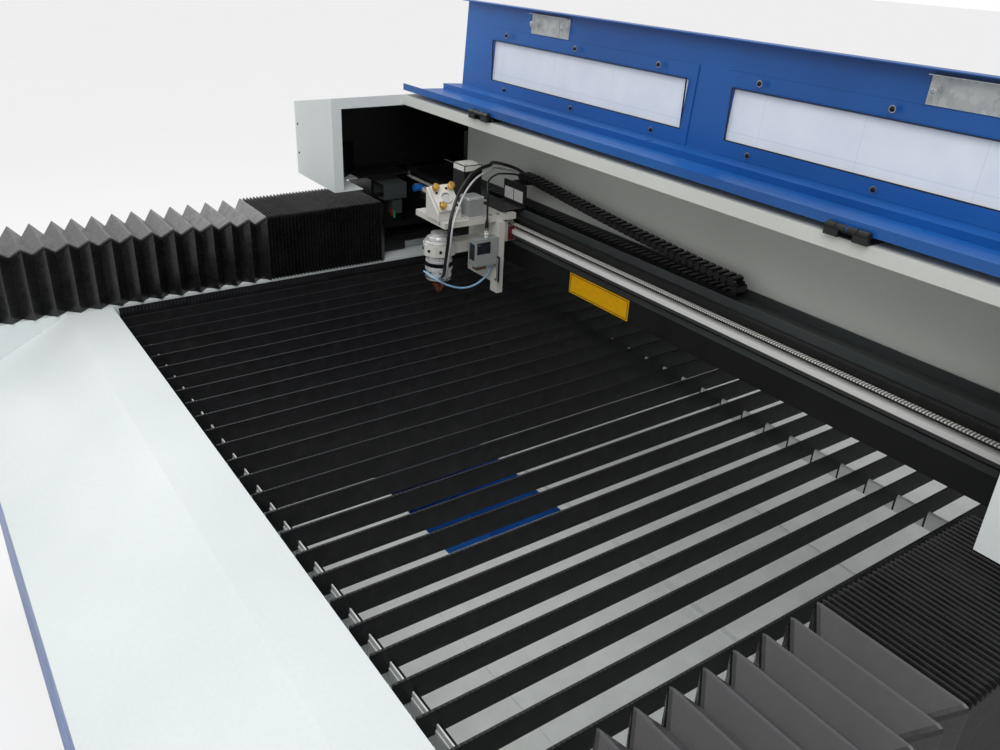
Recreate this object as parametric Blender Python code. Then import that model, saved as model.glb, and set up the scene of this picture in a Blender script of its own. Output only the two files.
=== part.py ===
"""Flatbed laser cutting machine: a long bed of knife blades under a travelling gantry.

Metres, +Z up. X runs along the gantry, Y from the front of the bed to its rear, and the
origin is on the floor under the middle of the bed. Y places are given as distances from
the front face, which front_y() turns into world places.
"""

import math

import bmesh
import bpy
from mathutils import Matrix, Vector

# Sheet, clearances and cutting
SHEET = 0.002
GAP = 0.0003
OVERRUN = 0.006
JOINT_GAP = 0.003
ROUNDING = 6

# Bed
BED_LENGTH = 3.400
BED_WIDTH = 1.745
LEDGE_TOP = 0.750
LEDGE_WIDTH = 0.1675
PANEL_BOTTOM = 0.080
COVER_DEPTH = 0.150
HALF_WIDTH = BED_WIDTH / 2
LEDGE_INNER = HALF_WIDTH - LEDGE_WIDTH

# Front and rear shrouds
SHROUD_INNER = 0.281
SHROUD_FOLD = 0.198
SHROUD_FALL = 0.103
SHROUD_FOOT = LEDGE_TOP - SHROUD_FALL
SHROUD_LIP = 0.020
REAR_SHROUD_DEPTH = 0.580

# Knife blades and the combs that hold them
BLADE_COUNT = 27
BLADE_MARGIN = 0.0381
BLADE_PITCH = 2 * (LEDGE_INNER - BLADE_MARGIN) / (BLADE_COUNT - 1)
BLADE_THICKNESS = 0.003
BLADE_HEIGHT = 0.035
BLADE_DROP = 0.013
BLADE_TOP = LEDGE_TOP - BLADE_DROP
BLADE_CLEARANCE = 0.009
BLADE_START = SHROUD_INNER + BLADE_CLEARANCE
BLADE_LENGTH = BED_LENGTH - REAR_SHROUD_DEPTH - BLADE_CLEARANCE - BLADE_START
COMB_COUNT = 4
COMB_SETBACK = 0.028
COMB_SEAT = 0.005
COMB_WIDTH = 0.004

# Gantry
BEAM_END_INSET = 0.0325
BEAM_HALF_LENGTH = HALF_WIDTH - BEAM_END_INSET
BEAM_FRONT = 1.026
BEAM_DEPTH = 0.150
BEAM_LIFT = 0.079
BEAM_BOTTOM = LEDGE_TOP + BEAM_LIFT
BEAM_HEIGHT = 0.101
BEAM_TOP = BEAM_BOTTOM + BEAM_HEIGHT
BEAM_WALL = 0.005

# Housing over the gantry
HOUSING_REACH = 0.264
HOUSING_FRONT = BEAM_FRONT - HOUSING_REACH
RIM_REACH = 0.095
HOUSING_RIM = BEAM_FRONT - RIM_REACH
HOUSING_DEPTH = 0.274
HOUSING_REAR = BEAM_FRONT + HOUSING_DEPTH
HOUSING_HEIGHT = 0.204
HOUSING_TOP = BEAM_TOP + HOUSING_HEIGHT
HOUSING_FALL = 0.036
HOUSING_EDGE_TOP = HOUSING_TOP - HOUSING_FALL
LEFT_BOX_WIDTH = 0.200
BAY_LEFT = LEFT_BOX_WIDTH - HALF_WIDTH
RIGHT_BOX_WIDTH = 0.095
BAY_RIGHT = HALF_WIDTH - RIGHT_BOX_WIDTH
BAY_DEPTH = 0.079
BACK_WALL = BEAM_FRONT + BAY_DEPTH
RIM_HEIGHT = 0.020
BOX_FLANGE = 0.022
BOX_LIFT = 0.005
BOX_BOTTOM = BEAM_TOP + BOX_LIFT

# Head
NOZZLE_X = -0.392
NOZZLE_REACH = 0.167
NOZZLE_SETBACK = BEAM_FRONT - NOZZLE_REACH
NOZZLE_LIFT = 0.035
NOZZLE_TIP = LEDGE_TOP + NOZZLE_LIFT
LASER_LIFT = 0.050
LASER_HEIGHT = BOX_BOTTOM + LASER_LIFT

FRONT_BELLOWS_START = 0.022
FRONT_BELLOWS_GAP = 0.126
FRONT_BELLOWS_END = BEAM_FRONT - FRONT_BELLOWS_GAP
REAR_BELLOWS_GAP = 0.069
REAR_BELLOWS_START = BEAM_FRONT + BEAM_DEPTH + REAR_BELLOWS_GAP
REAR_BELLOWS_MARGIN = 0.022

SMOOTH_ANGLE = math.radians(35)


def front_y(distance):
    """World Y of a place that lies this far behind the bed's front face."""
    return distance - BED_LENGTH / 2


def clear_scene():
    for item in list(bpy.data.objects):
        bpy.data.objects.remove(item, do_unlink=True)


def paint(name, color, roughness, metallic=0.0):
    """One Principled material."""
    material = bpy.data.materials.get(name) or bpy.data.materials.new(name)
    material.use_nodes = True
    shader = material.node_tree.nodes["Principled BSDF"]
    shader.inputs["Base Color"].default_value = (*color, 1.0)
    shader.inputs["Roughness"].default_value = roughness
    shader.inputs["Metallic"].default_value = metallic
    material.diffuse_color = (*color, 1.0)
    return material


WHITE = ("powder_coat_white", (0.74, 0.80, 0.79), 0.45)
BLUE = ("powder_coat_blue", (0.02, 0.10, 0.36), 0.45)
BLACK = ("powder_coat_black", (0.012, 0.012, 0.014), 0.5)
BLADE_BLACK = ("scale_black_steel", (0.015, 0.015, 0.017), 0.6, 0.3)
STEEL = ("ground_steel", (0.62, 0.62, 0.60), 0.2, 1.0)
ZINC = ("galvanised_steel", (0.55, 0.56, 0.56), 0.4, 1.0)
ALUMINIUM = ("anodised_aluminium", (0.66, 0.67, 0.66), 0.4, 1.0)
GREY = ("powder_coat_grey", (0.45, 0.47, 0.46), 0.5)
LEATHERETTE = ("coated_cloth_black", (0.014, 0.014, 0.015), 0.35)
NYLON = ("nylon_black", (0.02, 0.02, 0.022), 0.5)
URETHANE = ("polyurethane_belt", (0.60, 0.60, 0.56), 0.5)
ACRYLIC = ("filmed_acrylic", (0.80, 0.84, 0.86), 0.15)
GLASS = ("borosilicate_glass", (0.80, 0.86, 0.88), 0.05)
BRASS = ("brass", (0.72, 0.47, 0.14), 0.25, 1.0)
AIR_BLUE = ("polyurethane_tube_blue", (0.10, 0.32, 0.80), 0.25)


def finish_object(name, mesh, look, origin=(0, 0, 0)):
    """An object with this mesh, whose own origin lies at the given world point."""
    mesh.transform(Matrix.Translation(-Vector(origin)))
    mesh.shade_smooth()
    mesh.set_sharp_from_angle(angle=SMOOTH_ANGLE)
    mesh.materials.clear()
    mesh.materials.append(paint(*look))
    made = bpy.data.objects.new(name, mesh)
    made.location = origin
    bpy.context.scene.collection.objects.link(made)
    return made


def to_object(name, bm, look, origin=(0, 0, 0)):
    bmesh.ops.recalc_face_normals(bm, faces=bm.faces)
    mesh = bpy.data.meshes.new(name)
    bm.to_mesh(mesh)
    bm.free()
    return finish_object(name, mesh, look, origin)


def add_block(bm, low, high):
    """A box between two corners, rounded alike so that flush faces stay flush."""
    made = bmesh.ops.create_cube(bm, size=1)
    for vert in made["verts"]:
        corner = [high[i] if vert.co[i] > 0 else low[i] for i in range(3)]
        vert.co = [round(value, ROUNDING) for value in corner]


def block(name, low, high, look):
    bm = bmesh.new()
    add_block(bm, low, high)
    return to_object(name, bm, look)


def axis_point(axis, along, first, second):
    """A world point from a place along an axis and the two other coordinates in order."""
    if axis == "X":
        return (along, first, second)
    if axis == "Y":
        return (first, along, second)
    return (first, second, along)


def add_prism(bm, outline, axis, low, high):
    """Extrudes a closed outline, given in the plane across the axis."""
    ring = [bm.verts.new(axis_point(axis, low, *p)) for p in outline]
    face = bm.faces.new(ring)
    grown = bmesh.ops.extrude_face_region(bm, geom=[face])
    moved = [v for v in grown["geom"] if isinstance(v, bmesh.types.BMVert)]
    shift = axis_point(axis, high - low, 0, 0)
    bmesh.ops.translate(bm, vec=shift, verts=moved)


def prism(name, outline, axis, low, high, look):
    bm = bmesh.new()
    add_prism(bm, outline, axis, low, high)
    return to_object(name, bm, look)


def folded_outline(path, thickness):
    """The section of a folded sheet: a path and its mitred copy on the left of its way."""
    points = [Vector(p) for p in path]
    ways = [(b - a).normalized() for a, b in zip(points, points[1:])]
    sides = [Vector((-w.y, w.x)) for w in ways]
    offset = []
    for i, point in enumerate(points):
        before = sides[max(i - 1, 0)]
        after = sides[min(i, len(sides) - 1)]
        mitre = before + after
        offset.append(point + mitre * (2 * thickness / mitre.length_squared))
    return [tuple(p) for p in points] + [tuple(p) for p in reversed(offset)]


def turned(name, profile, axis, centre, look, segments, origin=(0, 0, 0)):
    """Revolves (radius, place along the axis) points; the first and last lie on the axis."""
    bm = bmesh.new()
    add_turned(bm, profile, axis, centre, segments)
    return to_object(name, bm, look, origin)


def add_turned(bm, profile, axis, centre, segments):
    rings = []
    for radius, along in profile:
        if radius == 0:
            place = [along if c is None else c for c in centre]
            rings.append([bm.verts.new(place)])
            continue
        ring = []
        for k in range(segments):
            angle = 2 * math.pi * k / segments
            swing = axis_point(axis, along, radius * math.cos(angle), radius * math.sin(angle))
            place = [swing[i] if c is None else swing[i] + c for i, c in enumerate(centre)]
            ring.append(bm.verts.new(place))
        rings.append(ring)
    for low, high in zip(rings, rings[1:]):
        for k in range(segments):
            after = (k + 1) % segments
            if len(low) == 1:
                bm.faces.new((low[0], high[k], high[after]))
            elif len(high) == 1:
                bm.faces.new((low[k], low[after], high[0]))
            else:
                bm.faces.new((low[k], low[after], high[after], high[k]))


def add_rod(bm, axis, centre, radius, low, high, segments):
    add_turned(bm, [(0, low), (radius, low), (radius, high), (0, high)], axis, centre, segments)


def tool(bm):
    """A helper solid for a Boolean, hidden from the render."""
    bmesh.ops.recalc_face_normals(bm, faces=bm.faces)
    mesh = bpy.data.meshes.new("tool")
    bm.to_mesh(mesh)
    bm.free()
    made = bpy.data.objects.new("tool", mesh)
    made.hide_render = True
    made.display_type = "WIRE"
    bpy.context.scene.collection.objects.link(made)
    return made


def combine(target, helper, operation):
    """Applies one exact Boolean and removes the helper solid."""
    step = target.modifiers.new(operation.lower(), "BOOLEAN")
    step.operation = operation
    step.solver = "EXACT"
    step.object = helper
    graph = bpy.context.evaluated_depsgraph_get()
    graph.update()
    result = bpy.data.meshes.new_from_object(target.evaluated_get(graph))
    target.modifiers.clear()
    old = target.data
    target.data = result
    bpy.data.meshes.remove(old)
    used = helper.data
    bpy.data.objects.remove(helper, do_unlink=True)
    bpy.data.meshes.remove(used)
    return target


def tool_blocks(spans):
    bm = bmesh.new()
    for low, high in spans:
        add_block(bm, low, high)
    return tool(bm)


def cut_blocks(target, spans):
    for span in spans:
        combine(target, tool_blocks([span]), "DIFFERENCE")
    return target


def fuse_blocks(target, spans):
    for span in spans:
        combine(target, tool_blocks([span]), "UNION")
    return target


def cut_rod(target, axis, centre, radius, low, high, segments):
    bm = bmesh.new()
    add_rod(bm, axis, centre, radius, low, high, segments)
    return combine(target, tool(bm), "DIFFERENCE")


def fuse_rod(target, axis, centre, radius, low, high, segments):
    bm = bmesh.new()
    add_rod(bm, axis, centre, radius, low, high, segments)
    return combine(target, tool(bm), "UNION")


# Base frame of welded square tube, with its levelling feet

TUBE = 0.060
UPPER_TUBE_WIDTH = 0.115
LOWER_TUBE_BOTTOM = 0.100
FOOT_RADIUS = 0.030
FOOT_THICKNESS = 0.016
FOOT_STEM_RADIUS = 0.012
FOOT_SEGMENTS = 8
FRAME_INSET = SHEET + GAP
FRAME_SIDE = HALF_WIDTH - FRAME_INSET
FRAME_TOP = LEDGE_TOP - SHEET - GAP
LEG_INSETS = (FRAME_INSET, BED_LENGTH / 2 - TUBE / 2, BED_LENGTH - FRAME_INSET - TUBE)

# Scrap drawer, which slides on two cross tubes, and the outlet over it
DRAWER_FRONT = 0.600
DRAWER_WIDTH = 0.370
DRAWER_BOTTOM = LOWER_TUBE_BOTTOM + TUBE + GAP
DRAWER_HEIGHT = 0.260
DRAWER_GRIP_HEIGHT = 0.022
DRAWER_GRIP_WIDTH = 0.120
RUNNER_INSET = 0.020
TRAY_OUTLET_WIDTH = 0.300
TRAY_OUTLET_MARGIN = 0.050
TRAY_OUTLET_START = DRAWER_FRONT + TRAY_OUTLET_MARGIN
TRAY_OUTLET_DEPTH = 0.260
TRAY_OUTLET_END = TRAY_OUTLET_START + TRAY_OUTLET_DEPTH
DRAWER_LENGTH = HALF_WIDTH + TRAY_OUTLET_MARGIN


def frame_spans():
    """The tubes of the welded frame as boxes that overlap at their welds."""
    front = front_y(FRAME_INSET)
    rear = -front
    spans = []
    for side in (-1, 1):
        edge = side * FRAME_SIDE
        inner = side * (FRAME_SIDE - TUBE)
        upper = side * (FRAME_SIDE - UPPER_TUBE_WIDTH)
        x_leg = sorted((edge, inner))
        x_upper = sorted((edge, upper))
        spans.append(((x_upper[0], front, FRAME_TOP - TUBE), (x_upper[1], rear, FRAME_TOP)))
        for inset in LEG_INSETS:
            y = front_y(inset)
            spans.append(((x_leg[0], y, LOWER_TUBE_BOTTOM), (x_leg[1], y + TUBE, FRAME_TOP - TUBE / 2)))
        low = (x_leg[0], front, LOWER_TUBE_BOTTOM)
        spans.append((low, (x_leg[1], rear, LOWER_TUBE_BOTTOM + TUBE)))
    first_runner = DRAWER_FRONT + RUNNER_INSET
    second_runner = DRAWER_FRONT + DRAWER_WIDTH - RUNNER_INSET - TUBE
    for inset in (*LEG_INSETS, first_runner, second_runner):
        y = front_y(inset)
        low = (-FRAME_SIDE, y, LOWER_TUBE_BOTTOM)
        spans.append((low, (FRAME_SIDE, y + TUBE, LOWER_TUBE_BOTTOM + TUBE)))
    return spans


def base_frame():
    first, *others = frame_spans()
    frame = block("base_frame", *first, BLUE)
    fuse_blocks(frame, others)
    for side in (-1, 1):
        x = side * (FRAME_SIDE - TUBE / 2)
        for inset in LEG_INSETS:
            y = front_y(inset) + TUBE / 2
            bm = bmesh.new()
            profile = [
                (0, 0),
                (FOOT_RADIUS, 0),
                (FOOT_RADIUS, FOOT_THICKNESS),
                (FOOT_STEM_RADIUS, FOOT_THICKNESS),
                (FOOT_STEM_RADIUS, LOWER_TUBE_BOTTOM + TUBE / 2),
                (0, LOWER_TUBE_BOTTOM + TUBE / 2),
            ]
            add_turned(bm, profile, "Z", (x, y, None), FOOT_SEGMENTS)
            combine(frame, tool(bm), "UNION")
    return frame


# Cover panels of the lower body

COVER_BOTTOM = LEDGE_TOP - COVER_DEPTH
PANEL_TOP = COVER_BOTTOM - GAP
SHROUD_SIDE = LEDGE_INNER - GAP
SHROUD_FLANGE_BOTTOM = SHROUD_FOOT - SHROUD_LIP
END_PANEL_RISE = SHROUD_FLANGE_BOTTOM - GAP


def end_panel(name, y_outer, y_inner):
    """A front or rear panel that rises between the side covers to meet the shroud."""
    outline = [
        (-HALF_WIDTH, PANEL_BOTTOM),
        (HALF_WIDTH, PANEL_BOTTOM),
        (HALF_WIDTH, PANEL_TOP),
        (SHROUD_SIDE, PANEL_TOP),
        (SHROUD_SIDE, END_PANEL_RISE),
        (-SHROUD_SIDE, END_PANEL_RISE),
        (-SHROUD_SIDE, PANEL_TOP),
        (-HALF_WIDTH, PANEL_TOP),
    ]
    return prism(name, outline, "Y", y_outer, y_inner, BLUE)


def panels():
    end_panel("front_panel", front_y(0), front_y(SHEET))
    end_panel("rear_panel", -front_y(SHEET), -front_y(0))
    y_low = front_y(SHEET + GAP)
    for name, side in (("left_panel", -1), ("right_panel", 1)):
        x = sorted((side * HALF_WIDTH, side * (HALF_WIDTH - SHEET)))
        panel = block(name, (x[0], y_low, PANEL_BOTTOM), (x[1], -y_low, PANEL_TOP), BLUE)
        if side < 0:
            low = (x[0] - OVERRUN, front_y(DRAWER_FRONT - JOINT_GAP), DRAWER_BOTTOM - JOINT_GAP)
            high = (
                x[1] + OVERRUN,
                front_y(DRAWER_FRONT + DRAWER_WIDTH + JOINT_GAP),
                DRAWER_BOTTOM + DRAWER_HEIGHT + JOINT_GAP,
            )
            cut_blocks(panel, [(low, high)])


# Side covers: long folded channels that carry the rails

COVER_RETURN_WIDTH = 0.013


def side_cover(name, side):
    """A channel open below, closed at both ends, with a return that holds the tray."""
    path = [
        (HALF_WIDTH, COVER_BOTTOM),
        (HALF_WIDTH, LEDGE_TOP),
        (LEDGE_INNER, LEDGE_TOP),
        (LEDGE_INNER, COVER_RETURN_Z),
        (LEDGE_INNER - COVER_RETURN_WIDTH, COVER_RETURN_Z),
    ]
    outline = folded_outline(path, SHEET)
    if side < 0:
        outline = [(-x, z) for x, z in outline]
    cover = prism(name, outline, "Y", front_y(0), front_y(BED_LENGTH), WHITE)
    x = sorted((side * HALF_WIDTH, side * LEDGE_INNER))
    for y in (front_y(0), front_y(BED_LENGTH) - SHEET):
        fuse_blocks(cover, [((x[0], y, COVER_BOTTOM), (x[1], y + SHEET, LEDGE_TOP))])
    x = sorted((side * LEDGE_INNER, side * (LEDGE_INNER - COVER_RETURN_WIDTH - OVERRUN)))
    low_z, high_z = COVER_RETURN_Z - OVERRUN, COVER_RETURN_Z + OVERRUN
    ends = ((-OVERRUN, TRAY_START - GAP), (TRAY_END + GAP, BED_LENGTH + OVERRUN))
    for start, end in ends:
        cut_blocks(cover, [((x[0], front_y(start), low_z), (x[1], front_y(end), high_z))])
    return cover


def shroud(name, mirrored):
    """A folded cover over one end of the bed: flat strip, slope and a lip at each edge."""
    inner = REAR_SHROUD_DEPTH if mirrored else SHROUD_INNER
    path = [
        (0, SHROUD_FLANGE_BOTTOM),
        (0, SHROUD_FOOT),
        (SHROUD_FOLD, LEDGE_TOP),
        (inner, LEDGE_TOP),
        (inner, LEDGE_TOP - SHROUD_LIP),
    ]
    path = [(front_y(y), z) for y, z in path]
    outline = folded_outline(list(reversed(path)), SHEET)
    if mirrored:
        outline = [(-y, z) for y, z in outline]
    return prism(name, outline, "X", -SHROUD_SIDE, SHROUD_SIDE, WHITE)


# Blades, combs and tray

TRAY_INSET = 0.017
TRAY_SIDE = LEDGE_INNER - TRAY_INSET
TRAY_RIM_WIDTH = 0.014
TRAY_RIM_DROP = 0.022
TRAY_RIM_TOP = BLADE_TOP - BLADE_HEIGHT - TRAY_RIM_DROP
COVER_RETURN_Z = TRAY_RIM_TOP - SHEET - GAP
TRAY_DEPTH = 0.230
TRAY_FLOOR = TRAY_RIM_TOP - TRAY_DEPTH
TRAY_START = SHROUD_INNER + JOINT_GAP
TRAY_END = BED_LENGTH - REAR_SHROUD_DEPTH - JOINT_GAP
TRAY_BATTEN_GAP = 0.015
TRAY_BATTEN_START = TRAY_OUTLET_END + TRAY_BATTEN_GAP
TRAY_BATTEN_WIDTH = 0.030
TRAY_BATTEN_HEIGHT = 0.012
COMB_HALF = TRAY_SIDE + TRAY_RIM_WIDTH - GAP


def blade_table():
    """Knife blades standing in slots of the combs, which makes them one locked grid."""
    bm = bmesh.new()
    y_low = front_y(BLADE_START)
    for k in range(BLADE_COUNT):
        x = (k - (BLADE_COUNT - 1) / 2) * BLADE_PITCH
        low = (x - BLADE_THICKNESS / 2, y_low, BLADE_TOP - BLADE_HEIGHT)
        high = (x + BLADE_THICKNESS / 2, y_low + BLADE_LENGTH, BLADE_TOP)
        add_block(bm, low, high)
    table = to_object("blade_table", bm, BLADE_BLACK)
    top = BLADE_TOP - BLADE_HEIGHT + COMB_SEAT
    bottom = TRAY_RIM_TOP + GAP
    first = y_low + COMB_SETBACK
    step = (BLADE_LENGTH - 2 * COMB_SETBACK - COMB_WIDTH) / (COMB_COUNT - 1)
    combs = []
    for k in range(COMB_COUNT):
        y = first + k * step
        combs.append(((-COMB_HALF, y, bottom), (COMB_HALF, y + COMB_WIDTH, top)))
    return combine(table, tool_blocks(combs), "UNION")


def tray():
    """The grey tray that catches offcuts: a folded pan with a rim and a dropped outlet."""
    path = [
        (TRAY_SIDE + TRAY_RIM_WIDTH, TRAY_RIM_TOP),
        (TRAY_SIDE, TRAY_RIM_TOP),
        (TRAY_SIDE, TRAY_FLOOR),
        (-TRAY_SIDE, TRAY_FLOOR),
        (-TRAY_SIDE, TRAY_RIM_TOP),
        (-TRAY_SIDE - TRAY_RIM_WIDTH, TRAY_RIM_TOP),
    ]
    outline = folded_outline(path, SHEET)
    y_low, y_high = front_y(TRAY_START), front_y(TRAY_END)
    pan = prism("scrap_tray", outline, "Y", y_low, y_high, GREY)
    for y in (y_low, y_high - SHEET):
        low = (-TRAY_SIDE, y, TRAY_FLOOR)
        fuse_blocks(pan, [(low, (TRAY_SIDE, y + SHEET, TRAY_RIM_TOP))])
    batten_y = front_y(TRAY_BATTEN_START)
    low = (-TRAY_SIDE, batten_y, TRAY_FLOOR - SHEET)
    high = (TRAY_SIDE, batten_y + TRAY_BATTEN_WIDTH, TRAY_FLOOR + TRAY_BATTEN_HEIGHT)
    fuse_blocks(pan, [(low, high)])
    low = (-TRAY_OUTLET_WIDTH, front_y(TRAY_OUTLET_START), TRAY_FLOOR - OVERRUN)
    high = (0, front_y(TRAY_OUTLET_END), TRAY_FLOOR + OVERRUN)
    return cut_blocks(pan, [(low, high)])


def scrap_drawer():
    """A blue sheet drawer under the outlet that pulls out through the left panel."""
    low = (-HALF_WIDTH, front_y(DRAWER_FRONT), DRAWER_BOTTOM)
    high = (
        -HALF_WIDTH + DRAWER_LENGTH,
        front_y(DRAWER_FRONT + DRAWER_WIDTH),
        DRAWER_BOTTOM + DRAWER_HEIGHT,
    )
    drawer = block("scrap_drawer", low, high, BLUE)
    inner_low = [v + SHEET for v in low]
    inner_high = (high[0] - SHEET, high[1] - SHEET, high[2] + OVERRUN)
    cut_blocks(drawer, [(inner_low, inner_high)])
    middle = (low[1] + high[1]) / 2
    grip_top = high[2] - DRAWER_GRIP_HEIGHT
    slot_low = (low[0] - OVERRUN, middle - DRAWER_GRIP_WIDTH / 2, grip_top - DRAWER_GRIP_HEIGHT)
    slot_high = (low[0] + OVERRUN, middle + DRAWER_GRIP_WIDTH / 2, grip_top)
    return cut_blocks(drawer, [(slot_low, slot_high)])


# Guide rails on the side covers, each with a rack in the same steel section

Y_RAIL_OFFSET = 0.067
Y_RAIL_X = LEDGE_INNER + Y_RAIL_OFFSET
Y_RAIL_WIDTH = 0.020
Y_RAIL_HEIGHT = 0.0175
Y_RAIL_INSET = 0.060
Y_RACK_OFFSET = 0.0505
Y_RACK_X = Y_RAIL_X + Y_RACK_OFFSET
Y_RACK_WIDTH = 0.015
Y_RACK_HEIGHT = 0.012
Y_WEB_HEIGHT = 0.003


def y_rails():
    base = LEDGE_TOP + GAP
    y = front_y(Y_RAIL_INSET)
    rail, rack = Y_RAIL_WIDTH / 2, Y_RACK_WIDTH / 2
    outline = [
        (Y_RAIL_X - rail, base),
        (Y_RACK_X + rack, base),
        (Y_RACK_X + rack, base + Y_RACK_HEIGHT),
        (Y_RACK_X - rack, base + Y_RACK_HEIGHT),
        (Y_RACK_X - rack, base + Y_WEB_HEIGHT),
        (Y_RAIL_X + rail, base + Y_WEB_HEIGHT),
        (Y_RAIL_X + rail, base + Y_RAIL_HEIGHT),
        (Y_RAIL_X - rail, base + Y_RAIL_HEIGHT),
    ]
    for name, side in (("left", -1), ("right", 1)):
        section = [(side * x, z) for x, z in outline]
        prism(name + "_y_rail", section, "Y", y, -y, STEEL)


# Bellows: folded sleeves of coated cloth over the rails

BELLOWS_BASE = LEDGE_TOP + GAP
BELLOWS_HEIGHT = 0.143
BELLOWS_PEAK = LEDGE_TOP + BELLOWS_HEIGHT
BELLOWS_MARGIN = 0.0015
BELLOWS_SKIN = 0.0015
OPEN_FOLD_DEPTH = 0.014
CLOSED_FOLD_DEPTH = 0.020
OPEN_FOLDS = 17
OPEN_FOLD_PITCH = 0.0365
CLOSED_FOLDS = 44
REAR_FOLDS = 50


def bellows_rings(start, pitches, depths):
    """Places and depths of valleys and peaks, one valley and one peak to each fold."""
    rings = [(start, depths[0])]
    y = start
    for pitch, depth in zip(pitches, depths):
        rings.append((y + pitch / 2, 0))
        rings.append((y + pitch, depth))
        y += pitch
    return rings


def bellows(name, side, rings):
    """An inverted channel whose outer skin zigzags and whose inner skin is flat."""
    inner = LEDGE_INNER + BELLOWS_MARGIN
    outer = HALF_WIDTH - BELLOWS_MARGIN
    wall = CLOSED_FOLD_DEPTH + BELLOWS_SKIN
    bm = bmesh.new()
    loops = []
    for y, depth in rings:
        section = [
            (inner + depth, BELLOWS_BASE),
            (inner + depth, BELLOWS_PEAK - depth),
            (outer - depth, BELLOWS_PEAK - depth),
            (outer - depth, BELLOWS_BASE),
        ]
        loops.append([bm.verts.new((side * x, front_y(y), z)) for x, z in section])
    inside = [
        (inner + wall, BELLOWS_BASE),
        (inner + wall, BELLOWS_PEAK - wall),
        (outer - wall, BELLOWS_PEAK - wall),
        (outer - wall, BELLOWS_BASE),
    ]
    ends = []
    for y in (rings[0][0], rings[-1][0]):
        ends.append([bm.verts.new((side * x, front_y(y), z)) for x, z in inside])
    for low, high in zip(loops, loops[1:]):
        for k in range(3):
            bm.faces.new((low[k], low[k + 1], high[k + 1], high[k]))
    for k in range(3):
        bm.faces.new((ends[0][k], ends[1][k], ends[1][k + 1], ends[0][k + 1]))
    for loop, end in ((loops[0], ends[0]), (loops[-1], ends[1])):
        bm.faces.new(loop + list(reversed(end)))
    for k in (0, 3):
        bm.faces.new([loop[k] for loop in loops] + [ends[1][k], ends[0][k]])
    return to_object(name, bm, LEATHERETTE)


def all_bellows():
    open_length = OPEN_FOLDS * OPEN_FOLD_PITCH
    closed_length = FRONT_BELLOWS_END - GAP - FRONT_BELLOWS_START - open_length
    pitches = [OPEN_FOLD_PITCH] * OPEN_FOLDS + [closed_length / CLOSED_FOLDS] * CLOSED_FOLDS
    depths = [OPEN_FOLD_DEPTH] * OPEN_FOLDS + [CLOSED_FOLD_DEPTH] * CLOSED_FOLDS
    front = bellows_rings(FRONT_BELLOWS_START, pitches, depths)
    rear_start = REAR_BELLOWS_START + GAP
    rear_length = BED_LENGTH - REAR_BELLOWS_MARGIN - rear_start
    rear_pitches = [rear_length / REAR_FOLDS] * REAR_FOLDS
    rear = bellows_rings(rear_start, rear_pitches, [OPEN_FOLD_DEPTH] * REAR_FOLDS)
    for name, side in (("left", -1), ("right", 1)):
        bellows(name + "_front_bellows", side, front)
        bellows(name + "_rear_bellows", side, rear)


# Gantry beam, its feet with bearing blocks, and the cross shaft of the Y drive

FOOT_INNER_REACH = 0.037
FOOT_INNER = Y_RAIL_X - FOOT_INNER_REACH
FOOT_OUTER_REACH = 0.036
FOOT_OUTER = Y_RAIL_X + FOOT_OUTER_REACH
FOOT_FRONT = FRONT_BELLOWS_END + GAP
FOOT_REAR = REAR_BELLOWS_START - GAP
FOOT_LIFT = 0.0306
FOOT_BOTTOM = LEDGE_TOP + FOOT_LIFT
FOOT_UPRIGHT = 0.060
FOOT_PLATE = 0.012
BLOCK_WIDTH = 0.044
BLOCK_LENGTH = 0.078
BLOCK_SKIRT = 0.0045
SUPPORT_REACH = 0.141
SUPPORT_START = BEAM_FRONT - SUPPORT_REACH
SUPPORT_DEPTH = 0.073
SUPPORT_HEIGHT = 0.040
SUPPORT_WALL = 0.003
SUPPORT_INSET = 0.0105
SUPPORT_OUTER = HALF_WIDTH - SUPPORT_INSET
SUPPORT_LAP = 0.0015
LEFT_SUPPORT_LENGTH = 0.120
SUPPORT_FOOT_LAP = 0.008
RIGHT_SUPPORT_LENGTH = SUPPORT_OUTER - FOOT_OUTER + SUPPORT_FOOT_LAP
SHAFT_GAP = 0.024
SHAFT_SETBACK = BEAM_FRONT + BEAM_DEPTH + SHAFT_GAP
SHAFT_RADIUS = 0.010
PINION_RADIUS = 0.036
SHAFT_END_REACH = 0.0115
SHAFT_END = Y_RACK_X + SHAFT_END_REACH
SHAFT_Z = LEDGE_TOP + GAP + Y_RACK_HEIGHT + GAP + PINION_RADIUS
SHAFT_HOLE_RADIUS = SHAFT_RADIUS + GAP
ROUND_SEGMENTS = 20
SMALL_SEGMENTS = 12
GEARBOX_HALF = 0.045
GEARBOX_FRONT = BEAM_FRONT + BEAM_DEPTH + GAP
GEARBOX_DEPTH = 0.070
GEARBOX_DROP = 0.051
GEARBOX_BOTTOM = BEAM_BOTTOM - GEARBOX_DROP
GEARBOX_TOP_DROP = 0.030
GEARBOX_TOP = BEAM_TOP - GEARBOX_TOP_DROP
MOTOR_RADIUS = 0.036
MOTOR_LENGTH = 0.150


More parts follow.
